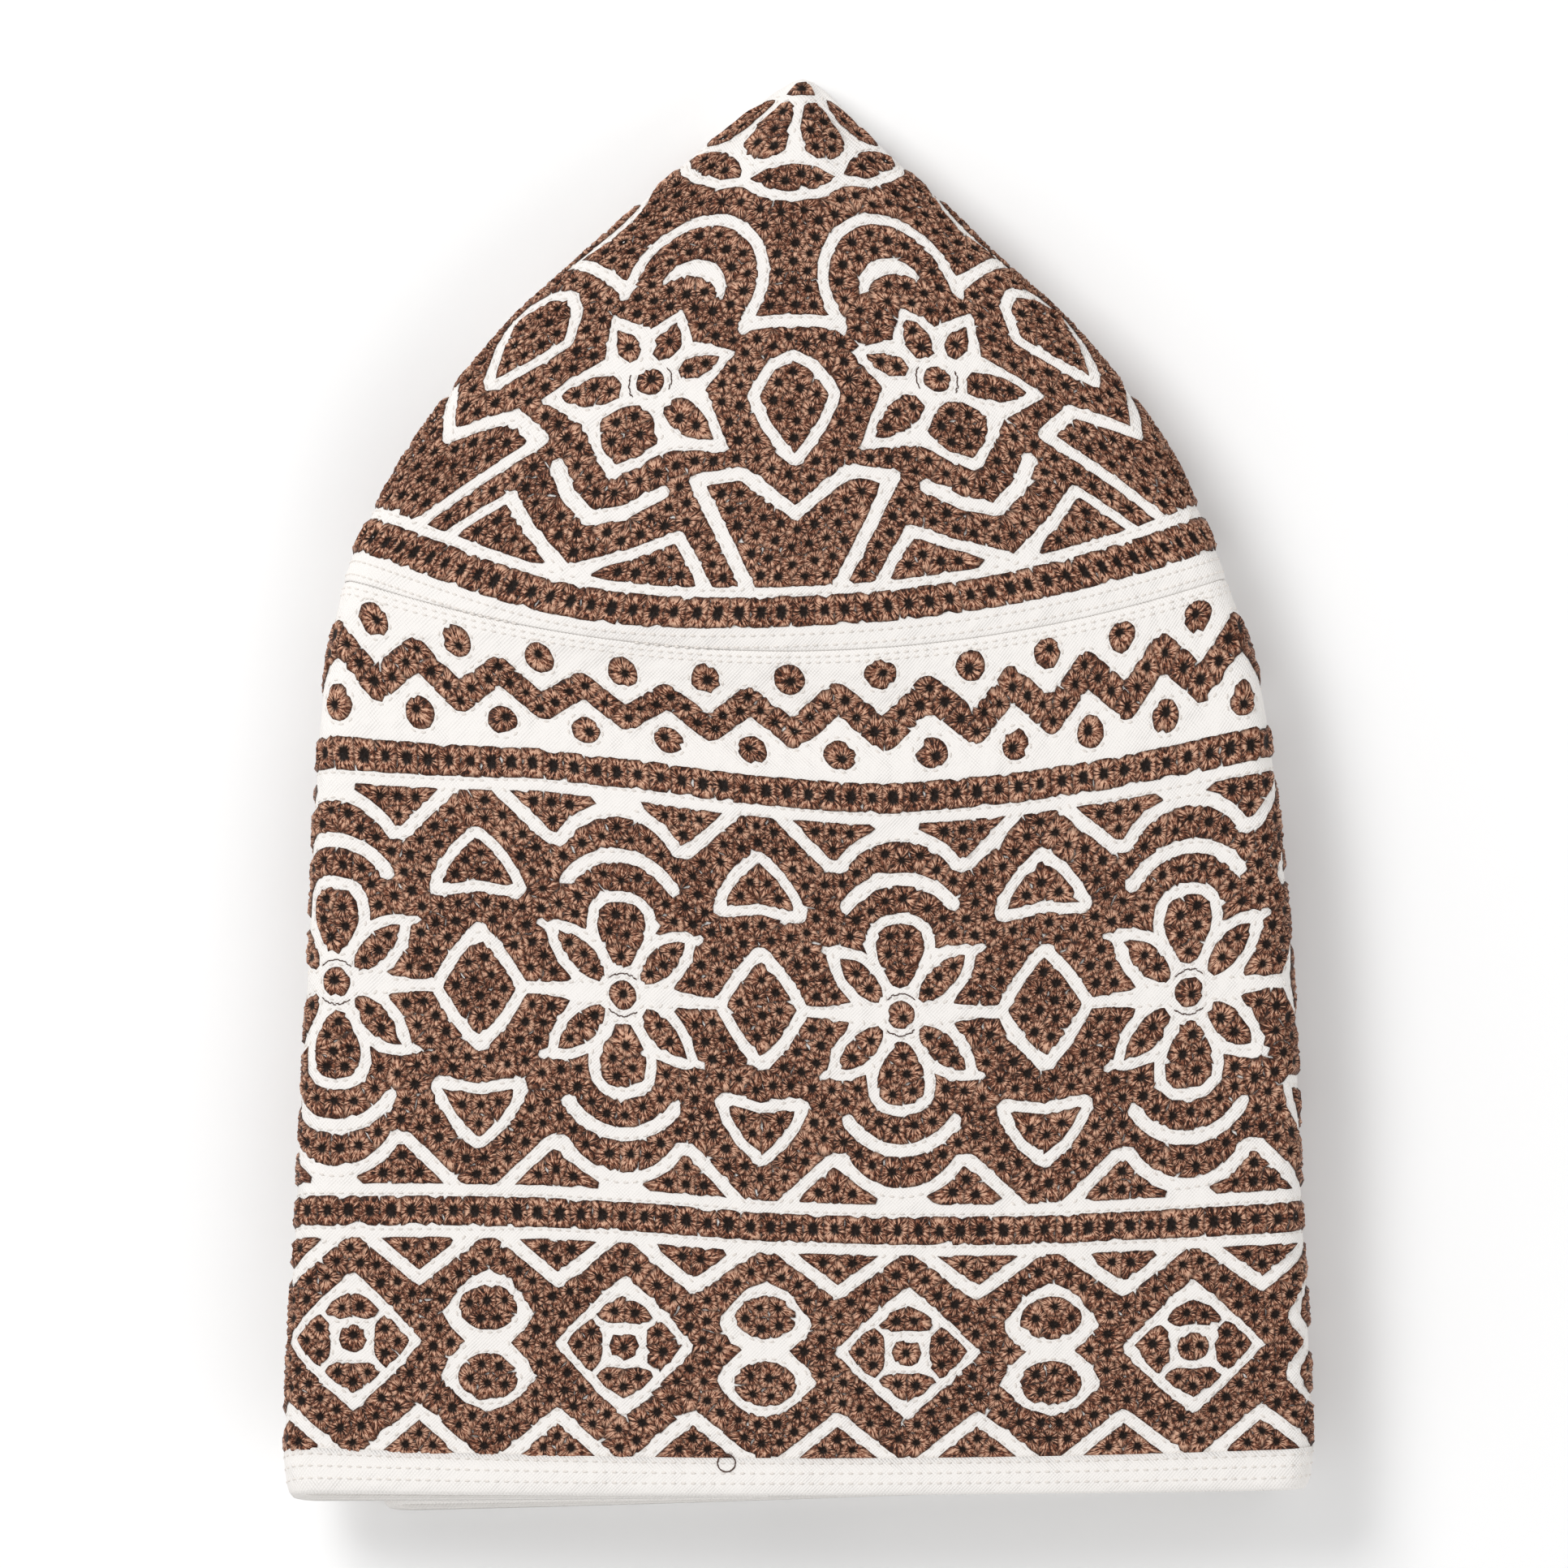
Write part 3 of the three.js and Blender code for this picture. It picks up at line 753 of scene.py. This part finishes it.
def stitchReach(x, y, room):  # how far each eyelet's stitches reach, and which end at the white
    count, march = stitch["directions"], stitch["march"]
    angle = np.arange(count) * 2 * pi / count
    cosines, sines = np.cos(angle), np.sin(angle)
    far = np.full((len(x), count), stitch["longest"])
    out = np.zeros((len(x), count), bool)
    last = np.zeros((len(x), count))
    for r in np.arange(stitch["start"], stitch["longest"], march):
        free = room(x[:, None] + r * cosines, y[:, None] + r * sines)
        crossed = ~out & (free < 0)
        where = r - march * free / np.minimum(free - last, -1e-6)
        far = np.where(crossed, np.clip(where, stitch["shortest"], r), far)
        out |= crossed
        last = free
    toWhite = out.astype(float)
    dx, dy = x[None, :] - x[:, None], y[None, :] - y[:, None]
    apart = np.hypot(dx, dy)
    near = (apart < 2 * stitch["longest"]) & (apart > 0)
    for i in range(len(x)):
        a, b = dx[i, near[i]], dy[i, near[i]]
        along = a[:, None] * cosines + b[:, None] * sines
        half = (a * a + b * b)[:, None] / (2 * np.maximum(along, 1e-6))
        halfway = half.min(0) * stitch["overlap"] if len(a) else np.full(count, outOfReach)
        toWhite[i] = np.where(halfway < far[i], 0, toWhite[i])
        between = np.exp(-((halfway - far[i]) / stitch["scallopReach"]) ** 2)
        scalloped = far[i] * (1 - stitch["scallop"] * between)
        far[i] = np.where(toWhite[i] > 0, scalloped, np.minimum(far[i], halfway))
    return far, toWhite


def eyeletMesh():  # one eyelet: a pit, and rings of stitches round it
    bm = bmesh.new()
    around = stitch["around"]
    bmesh.ops.create_circle(bm, cap_ends=True, cap_tris=True, segments=around, radius=1)
    for ring in (2, 3):
        rim = [edge for edge in bm.edges if edge.is_boundary]
        bmesh.ops.scale(bm, vec=(ring / (ring - 1),) * 3, verts=extruded(bm, rim))
    bmesh.ops.recalc_face_normals(bm, faces=bm.faces)
    bm.faces.ensure_lookup_table()
    if bm.faces[0].normal.z < 0:
        bmesh.ops.reverse_faces(bm, faces=bm.faces)
    ring = np.array([round(v.co.length) for v in bm.verts])
    spoke = np.array([round(atan2(v.co.y, v.co.x) * around / (2 * pi)) % around for v in bm.verts])
    faces = [[v.index for v in face.verts] for face in bm.faces]
    turns = []
    for face in faces:  # each corner's share of a turn, unbroken across the last spoke
        own = [spoke[v] for v in face if ring[v] > 0]
        wrap = around if max(own) - min(own) > around / 2 else 0
        middle = sum(s or wrap for s in own) / len(own)
        turns += [(spoke[v] or wrap) if ring[v] else middle for v in face]
    bm.free()
    return ring, spoke, faces, np.array(turns) / around


def surfacePoints(skin, u, v):  # a place on the cloth's outer skin, by arc length and height
    i = (u - skin["u"][0]) / (skin["u"][1] - skin["u"][0])
    return lookUp(skin["points"], i, np.interp(v, skin["v"], np.arange(len(skin["v"]))))


def surfaceNormals(skin, u, v):
    e = 0.4 * mm
    acrossCloth = surfacePoints(skin, u + e, v) - surfacePoints(skin, u - e, v)
    upCloth = surfacePoints(skin, u, v + e) - surfacePoints(skin, u, v - e)
    normal = np.cross(acrossCloth, upCloth)
    return normal / np.maximum(np.linalg.norm(normal, axis=-1, keepdims=True), 1e-12)


def outerSkin(onCrown, ofBack, wall=fold["wall"]):  # a table of the outer skin, from a panel's middle
    ups = np.linspace(0, crownEnd if onCrown else 1, skinTable["rows"])
    reach, step = skinTable["reach"], skinTable["step"]
    u = np.arange(-reach, reach + step, step) * mm
    rows = []
    for up in ups:
        points, along = sheetLoop(onCrown, up, wall / 2)
        if ofBack:
            right, left = along > 0, along < 0
            points = np.concatenate((points[right], points[left]))
            along = np.concatenate((along[right] - along[-1], along[left] - along[0]))
        rows.append(np.stack([np.interp(u, along, points[:, n]) for n in range(3)], axis=1))
    return {"u": u, "v": ups * heights[onCrown], "points": np.array(rows)}


# How the pattern lies on the front: heights in millimetres of its lines, at places across the front
lie = {
    "across": (-65, -50, -35, -20, -5, 12, 30, 60),
    5.0: (4.7, 4.8, 4.9, 5.0, 5.0, 5.0, 5.0, 5.0),
    37.0: (37.3, 38.1, 38.4, 38.0, 36.9, 36.4, 36.1, 36.4),
    96.5: (95.8, 97.2, 98.7, 98.3, 96.9, 95.5, 95.9, 97.2),
    102.5: (102.0, 102.9, 104.0, 103.8, 102.6, 101.5, 101.7, 102.6),
    112.0: (111.9, 112.0, 111.8, 111.2, 111.6, 112.5, 112.4, 112.8),
}


def frontLie(u, q):  # height on the cloth, from height in the pattern
    levels = [level for level in lie if level != "across"]
    nominal = [0.0] + levels + [116.0]
    heights = [np.zeros_like(u)] + [np.interp(u, lie["across"], lie[level]) for level in levels]
    heights.append(np.full_like(u, 116.0))
    k = np.clip(np.searchsorted(nominal, q) - 1, 0, len(nominal) - 2)
    nominal, heights = np.array(nominal), np.stack(heights)
    low, high = (np.take_along_axis(heights, n[None], 0)[0] for n in (k, k + 1))
    return low + (high - low) * (q - nominal[k]) / (nominal[k + 1] - nominal[k])


# Where the motifs' middles lie across the front, in millimetres
motifPlaces = {
    "flowers": ((-78.0, -39.0, 0.0, 39.0), (-63.7, -24.3, 13.8, 53.4)),
    "diamonds": ((-77.0, -38.5, 0.0, 38.5), (-61.2, -24.0, 14.9, 54.2)),
    "zigzag": ((-51.3, 5.7, 28.5, 62.7), (-56.8, 0.2, 25.4, 56.4)),
    "rows": ((0.0, 1.0), (0.0, 1.0)),
}


def placeAcross(zone, p, ofBack):
    if ofBack:
        return p
    pattern, places = (np.array(side) for side in motifPlaces[zone])
    middle = np.interp(p, pattern, places)
    return np.where(p < pattern[0], places[0] + p - pattern[0],
                    np.where(p > pattern[-1], places[-1] + p - pattern[-1], middle))


def bandMap(zone, middle, ofBack):  # pattern millimetres to cloth metres
    def onCloth(p, q):
        u, q = placeAcross(zone, p, ofBack), q + middle
        return u * mm, (q if ofBack else frontLie(u, q)) * mm
    return onCloth


crownLie = {  # how the crown's pattern lies, in degrees and millimetres
    "crowd": (0.14, 45),  # tighter towards the folds: a share, and the angle of that share
    "bulge": (1.5, -22, 16),  # away from the point on the left: how far, where and how wide
    "bulgeReach": (45, 74),
    "turn": 0.9,
}


def crownMap(ofBack):
    share, full = crownLie["crowd"]
    bulge, middle, wide = crownLie["bulge"]
    start, end = crownLie["bulgeReach"]
    angles = np.radians(np.arange(-150, 151))
    patternAngles = angles * (1 + share * (np.abs(np.degrees(angles)) / full) ** 3)

    def onCloth(p, q):
        r, a = np.hypot(p, q), np.arctan2(p, q)
        if not ofBack:
            near = np.exp(-((np.degrees(a) - middle) / wide) ** 2)
            r = r + bulge * near * np.clip((r - start) / (end - start), 0, 1)
            a = a + radians(crownLie["turn"])
        return np.interp(a, patternAngles, angles) * r * mm, fold["crownHeight"] - r * mm
    return onCloth


def copiesMesh(name, points, faces, material):  # many copies of a shape, with a row of points for each
    count, size = points.shape[:2]
    sides = np.array([len(face) for face in faces])
    corners = np.concatenate([np.array(face) for face in faces])
    starts = np.concatenate(([0], np.cumsum(sides)[:-1]))
    copies = np.arange(count)[:, None]
    mesh = bpy.data.meshes.new(name)
    mesh.vertices.add(count * size)
    mesh.vertices.foreach_set("co", points.ravel())
    mesh.loops.add(count * len(corners))
    allCorners = (corners[None] + copies * size).ravel()
    mesh.loops.foreach_set("vertex_index", allCorners)
    mesh.polygons.add(count * len(sides))
    mesh.polygons.foreach_set("loop_start", (starts[None] + copies * len(corners)).ravel())
    mesh.materials.append(material)
    return mesh, allCorners


def copiesPiece(name, mesh):
    mesh.update(calc_edges=True)
    mesh.validate()
    return addPiece(name, mesh)


lowest = 0.05 * mm  # thread under the cap is pressed flat to this height above the floor


def embroider(name, parts):
    ring, spoke, faces, turns = eyeletMesh()
    around = stitch["around"]
    allPoints, tones, lengths = [], [], []
    for part in parts:
        x, y, far = part["x"], part["y"], part["far"]
        wide = far.shape[1] // around  # the longest stitch of each sector is kept, so corners are filled
        sectors = np.roll(far, wide // 2, 1).reshape(len(x), around, wide)
        index = (np.arange(around) * wide + sectors.argmax(2) - wide // 2) % far.shape[1]
        angle = index * 2 * pi / far.shape[1]
        edge = np.take_along_axis(far, index, 1)
        border = np.take_along_axis(part["toWhite"], index, 1)
        loose = np.where(random.uniform(0, 1, edge.shape) < stitch["loose"][0], stitch["loose"][1], 1)
        edge = edge * random.uniform(*stitch["lengths"], edge.shape) * loose
        border = (np.roll(border, 1, 1) + 2 * border + np.roll(border, -1, 1)) / 4
        tall = 1 + stitch["tallPit"] * np.abs(np.cos(angle - part["upright"][:, None])) * part["inRow"]
        size = random.uniform(*stitch["pitSizes"], (len(x), 1))
        pit = stitch["pit"] * tall * size * random.uniform(*stitch["pitEdges"], edge.shape)
        pit = np.minimum(pit, edge * stitch["mostPit"])
        crest = pit + (edge - pit) * stitch["crest"]
        zero = np.zeros_like(edge)
        radius = np.stack((zero, pit, crest, edge))[ring, :, spoke].T
        shown = np.stack((zero, zero + stitch["pit"], crest, edge))[ring, :, spoke].T
        rough = random.uniform(*stitch["heights"], edge.shape)
        edgeHigh = stitch["edgeHigh"] * border + stitch["innerHigh"] * (1 - border)
        high = np.stack((zero + stitch["middleHigh"], zero + stitch["pitHigh"], stitch["high"] * rough,
                         edgeHigh * rough))[ring, :, spoke].T
        turn = angle[:, spoke]
        u, v = part["onCloth"](x[:, None] + radius * np.cos(turn), y[:, None] + radius * np.sin(turn))
        skin = part["skin"]
        point = surfacePoints(skin, u, v) + surfaceNormals(skin, u, v) * high[..., None] * mm
        point[..., 2] = np.maximum(point[..., 2], lowest)
        allPoints.append(point)
        tones.append(np.repeat(random.uniform(0, 1, len(x)), len(ring)))
        lengths.append(shown)
    points, tone, radius = np.concatenate(allPoints), np.concatenate(tones), np.concatenate(lengths)
    mesh, allCorners = copiesMesh(name, points, faces, brownThread)
    uv = mesh.uv_layers.new(name="stitches")
    sides = np.tile(turns, len(points)), radius.ravel()[allCorners]
    uv.data.foreach_set("uv", np.stack(sides, axis=1).ravel())
    away = np.tile(np.array(stitch["away"])[ring], len(points))
    for attribute, values in (("tone", tone), ("away", away)):
        mesh.attributes.new(attribute, "FLOAT", "POINT").data.foreach_set("value", values)
    print(name, len(points), "eyelets,", len(points) * sum(len(face) - 2 for face in faces), "triangles")
    return copiesPiece(name, mesh)


def trimmed(part, ofBack, onCrown):  # only what lies on a panel or just past its fold
    u, v = part["onCloth"](part["x"], part["y"])
    ups = np.linspace(0, 0.99, 40)
    sections = [sectionAt(onCrown, up) for up in ups]
    low = [-(s["back"][1] if ofBack else s["half"]) for s in sections]
    high = [s["back"][-1] if ofBack else s["half"] for s in sections]
    low, high = (np.interp(v / heights[onCrown], ups, edge) for edge in (low, high))
    past = stitch["pastFold"] * mm
    keep = (u > low - past) & (u < high + past)
    return {key: value[keep] if isinstance(value, np.ndarray) and len(value) == len(keep) else value
            for key, value in part.items()}


def eyeletPart(x, y, room, onCloth, skin, upright=None):
    far, toWhite = stitchReach(x, y, room)
    inRow = upright is not None
    return dict(x=x, y=y, far=far, toWhite=toWhite, onCloth=onCloth, skin=skin, room=room, inRow=inRow,
                upright=upright if inRow else np.zeros(len(x)))


bandReach, panelTurn = 88, 80  # half a panel: millimetres of the band, and degrees of the crown
crownReach = 74
rowPlaces = {  # each row's middle, and how tall it is
    "band": ((37.0, 3.9), (96.5, 4.1)),
    "crown": (73.35, 4.2),
    "crownTurn": 85,
    "jitter": (0.12, 0.1),
}
tipEyelet = {"below": 1.5, "tall": 0.9, "stretch": 2.1}


def offMiddle(x, y):  # degrees from a panel's middle, to either side
    return np.abs(np.degrees(np.arctan2(x, y)))


def zonePart(zone, ofBack, skin):
    z = bandZones[zone]
    seeds = [(side * a + n * repeats[zone], b)
             for n in range(-3, 4) for side in (-1, 1) for a, b in z["seeds"]]
    x, y = sow(z["room"], bandReach, z["reach"], [seed for seed in seeds if abs(seed[0]) < bandReach])
    return trimmed(eyeletPart(x, y, z["room"], bandMap(zone, z["middle"], ofBack), skin), ofBack, False)


def rowPart(middle, tall, ofBack, skin):  # a straight row of eyelets
    x = np.arange(-bandReach, bandReach, stitch["rowSpacing"])
    jitter = rowPlaces["jitter"]
    x = x + random.uniform(-jitter[0], jitter[0], len(x))
    y = random.uniform(-jitter[1], jitter[1], len(x))
    upright = np.full(len(x), pi / 2)
    part = eyeletPart(x, y, lambda p, q: tall / 2 - np.abs(q), bandMap("rows", middle, ofBack), skin, upright)
    return trimmed(part, ofBack, False)


def crownPart(ofBack, skin):
    side = -1 if ofBack else 1  # half a turn brings a flower's axis to the back panel's middle

    def room(p, q):
        return crownRoom(side * p, side * q)

    def panelRoom(p, q):
        return np.minimum(room(p, q), (panelTurn - offMiddle(p, q)) / 10)
    x, y = sow(panelRoom, crownReach, crownReach)
    keep = offMiddle(x, y) < panelTurn
    return trimmed(eyeletPart(x[keep], y[keep], room, crownMap(ofBack), skin), ofBack, True)


def crownRow(ofBack, skin):
    middle, tall = rowPlaces["crown"]
    end, jitter = rowPlaces["crownTurn"], rowPlaces["jitter"][1]
    turn = np.arange(-end, end, degrees(stitch["rowSpacing"] / middle))
    turn = np.radians(turn + random.uniform(-jitter, jitter, len(turn)))
    x, y = middle * np.sin(turn), middle * np.cos(turn)
    part = eyeletPart(x, y, lambda p, q: tall / 2 - np.abs(np.hypot(p, q) - middle), crownMap(ofBack), skin,
                      pi / 2 - turn)
    return trimmed(part, ofBack, True)


def tipPart(skin):  # the single eyelet that covers the crown's point
    below, tall, stretch = tipEyelet.values()
    x, y = np.array([0.0]), np.array([below])
    return eyeletPart(x, y, lambda p, q: tall - np.hypot(p / stretch, q - below), crownMap(False), skin)


# Small capsules: white stitches along the edges of the white lines and in rows, and brown linking threads
sewing = {
    "long": 0.85,
    "wide": 0.32,
    "high": 0.4,
    "pitch": 1.35,
    "fromEdge": 0.34,  # how far inside the white its stitches lie
    "search": 0.15,  # grid on which that line is looked for
    "within": 0.09,
    "probe": 0.2,
    "hemRows": (4.5, 3.1, 1.7),
    "seamRows": (115.2, 114.4),
    "crownRows": (76.5, 78.1),
    "reach": 86,  # of the straight rows, from a panel's middle
    "link": 2.85,  # radius at which thin brown threads link the petals of a flower
    "linkStep": 7.0,  # degrees
    "bandSpans": ((50, 80), (230, 80)),  # where they start, and how far they run
    "crownSpans": ((150, 60), (330, 60)),
    "uneven": (0.96, 1.05),
    "linkSize": (0.7, 0.6),  # length and width, as shares of a stitch's
    "loop": ((-9.9, 4.5), 1.2),
}
linkThread, _, linkShader = newMaterial("brown_sewing_thread")  # dyed cotton thread, dull
setShader(linkShader, "4A2F23", 0.7)
# A little darker than the cloth: painted shade of the thread's twist and of the dimples where it enters the
# cloth
cottonThreadPaintedShade = whiteCotton("cotton_sewing_thread_painted_shade", "EAE4DE", False)


def stitchPart(x, y, turn, onCloth, skin):
    return dict(x=x, y=y, turn=turn, onCloth=onCloth, skin=skin)


def edgeStitches(part, width, reach, onCrown):  # evenly apart along the white's edge
    step, room = sewing["search"], part["room"]
    grid = np.meshgrid(np.arange(-width, width, step), np.arange(0 if onCrown else -reach, reach, step))
    xs, ys = (a.ravel() for a in grid)
    onLine = np.abs(room(xs, ys) + sewing["fromEdge"]) < sewing["within"]
    if onCrown:
        onLine &= offMiddle(xs, ys) < panelTurn
    xs, ys = xs[onLine], ys[onLine]
    bare, picked, pick = np.full(len(xs), outOfReach), [], 0
    while bare.max() > sewing["pitch"]:
        picked.append(pick)
        bare = np.minimum(bare, np.hypot(xs - xs[pick], ys - ys[pick]))
        pick = int(np.where(bare > sewing["pitch"], bare, outOfReach).argmin())
    x, y, e = xs[picked], ys[picked], sewing["probe"]
    slopeX, slopeY = room(x + e, y) - room(x - e, y), room(x, y + e) - room(x, y - e)
    return stitchPart(x, y, np.arctan2(slopeY, slopeX) + pi / 2, part["onCloth"], part["skin"])


def sew(name, slot, material, parts, long=1.0, wide=1.0):
    bm = bmesh.new()
    bmesh.ops.create_icosphere(bm, subdivisions=1, radius=0.5)
    shape = np.array([v.co for v in bm.verts])
    faces = [[v.index for v in face.verts] for face in bm.faces]
    bm.free()
    shape = shape * (sewing["long"] * long * mm, sewing["wide"] * wide * mm, sewing["high"] * mm)
    e = sewing["probe"]
    allPoints = []
    for part in parts:
        x, y, turn, skin, onCloth = (part[key] for key in ("x", "y", "turn", "skin", "onCloth"))
        ends = [surfacePoints(skin, *onCloth(x + s * np.cos(turn), y + s * np.sin(turn))) for s in (-e, e)]
        normal = surfaceNormals(skin, *onCloth(x, y))
        along = ends[1] - ends[0]
        along = along / np.maximum(np.linalg.norm(along, axis=1, keepdims=True), 1e-9)
        axes = np.stack((along, np.cross(normal, along), normal), axis=1)
        allPoints.append((ends[0] + ends[1])[:, None] / 2 + shape @ axes)
    points = np.concatenate(allPoints)
    points[..., 2] = np.maximum(points[..., 2], lowest)
    print(name, len(points), "stitches,", len(points) * len(faces), "triangles")
    return copiesPiece(name, copiesMesh(name, points, faces, material)[0])


def plainMap(p, q):
    return p * mm, q * mm


def straightRow(height, skin):
    x = np.arange(-sewing["reach"], sewing["reach"], sewing["pitch"])
    return stitchPart(x, np.full(len(x), height), np.zeros(len(x)), plainMap, skin)


def crownRing(radius, ofBack, skin):
    turn = np.radians(np.arange(-panelTurn, panelTurn, degrees(sewing["pitch"] / radius)))
    return stitchPart(radius * np.sin(turn), radius * np.cos(turn), -turn, crownMap(ofBack), skin)


def ringStitches(centres, radius, spans, onCloth, skin):  # short stitches in arcs about each centre
    arcs = [np.arange(start, start + span, sewing["linkStep"]) for start, span in spans]
    turn = np.radians(np.concatenate(arcs))
    sides = np.cos(turn), np.sin(turn)
    x, y = (np.concatenate([centre[n] + radius * sides[n] * random.uniform(*sewing["uneven"], len(turn))
                            for centre in centres]) for n in (0, 1))
    return stitchPart(x, y, np.tile(turn + pi / 2, len(centres)), onCloth, skin)


def links(ofBack, bandSkin, crownSkin):  # threads from petal to petal round a flower's middle
    flowers = [(n * repeats["flowers"], 0) for n in range(-2, 3)]
    onCloth = bandMap("flowers", bandZones["flowers"]["middle"], ofBack)
    onBand = ringStitches(flowers, sewing["link"], sewing["bandSpans"], onCloth, bandSkin)
    axes = (0, 2 * halfSector, -2 * halfSector) if ofBack else (halfSector, -halfSector)
    flowers = [onAxis(axis, [(0, crownFlower)])[0] for axis in axes]
    onCrown = ringStitches(flowers, sewing["link"], sewing["crownSpans"], crownMap(ofBack), crownSkin)
    return [trimmed(onBand, ofBack, False), trimmed(onCrown, ofBack, True)]


bandTrim, crownTrim = [hemCloth], []
for side, ofBack in (("front", False), ("back", True)):
    bandSkin, crownSkin = outerSkin(False, ofBack), outerSkin(True, ofBack)
    hemSkin = outerSkin(False, ofBack, fold["hemWall"])
    flowers, diamonds, zigzag = (zonePart(zone, ofBack, bandSkin) for zone in bandZones)
    crownEyelets = crownPart(ofBack, crownSkin)
    rows = [rowPart(middle, tall, ofBack, bandSkin) for middle, tall in rowPlaces["band"]] + [zigzag]
    tip = [] if ofBack else [tipPart(crownSkin)]
    bandTrim.append(embroider("band_flowers_" + side, [flowers]))
    bandTrim.append(embroider("band_diamonds_" + side, [diamonds]))
    bandTrim.append(embroider("band_rows_" + side, rows))
    crownTrim.append(embroider("crown_eyelets_" + side, [crownEyelets, crownRow(ofBack, crownSkin)] + tip))
    onBand = [edgeStitches(part, bandReach, zone["edges"], False)
              for part, zone in zip((flowers, diamonds, zigzag), bandZones.values())]
    onBand += [straightRow(height, bandSkin) for height in sewing["seamRows"]]
    onCrown = [edgeStitches(crownEyelets, crownReach, crownReach - 2, True)]
    onCrown += [crownRing(radius, ofBack, crownSkin) for radius in sewing["crownRows"]]
    onHem = [straightRow(height, hemSkin) for height in sewing["hemRows"]]
    onBand, onHem = ([trimmed(part, ofBack, False) for part in parts] for parts in (onBand, onHem))
    onCrown = [trimmed(part, ofBack, True) for part in onCrown]
    linked = links(ofBack, bandSkin, crownSkin)
    if not ofBack:  # a loose end loops on the hem
        linked.append(ringStitches([sewing["loop"][0]], sewing["loop"][1], ((0, 350),), plainMap, hemSkin))
    bandTrim.append(sew("band_stitches_" + side, "embroidered_cotton", cottonThreadPaintedShade, onBand))
    crownTrim.append(sew("crown_stitches_" + side, "embroidered_cotton", cottonThreadPaintedShade, onCrown))
    bandTrim.append(sew("hem_stitches_" + side, "plain_cotton", cottonThreadPaintedShade, onHem))
    linked = sew("link_threads_" + side, "embroidered_cotton", linkThread, linked, *sewing["linkSize"])
    bandTrim.append(linked)
print("eyelets and stitches sewn")


studio = {
    "floor": 3,  # metres
    "world": 0.58,
    # each softbox's place, size and power
    "key": ((-0.55, 0.5, 0.9), 0.5, 6.7),
    "fill": ((0.45, -0.75, 0.9), 0.9, 2.9),
}


def makeFloor():
    bm = bmesh.new()
    bmesh.ops.create_grid(bm, x_segments=1, y_segments=1, size=studio["floor"])
    material, _, shader = newMaterial("floor_paper")
    setShader(shader, "FFFFFF", 0.9)
    floor = addObject("floor", meshOf("floor", bm, material))
    return floor


def makeLights():
    world = bpy.data.worlds.new("studio")
    bpy.context.scene.world = world
    world.use_nodes = True
    background = world.node_tree.nodes["Background"]
    background.inputs["Color"].default_value = (1, 1, 1, 1)
    background.inputs["Strength"].default_value = studio["world"]
    for place, size, power in (studio["key"], studio["fill"]):
        light = bpy.data.lights.new("softbox", "AREA")
        light.size = size
        light.energy = power
        lamp = addObject("softbox", light)
        lamp.location = place
        lamp.rotation_euler = Vector(place).to_track_quat("Z", "Y").to_euler()
    bpy.context.scene.view_settings.view_transform = "Standard"


floor = makeFloor()
makeLights()
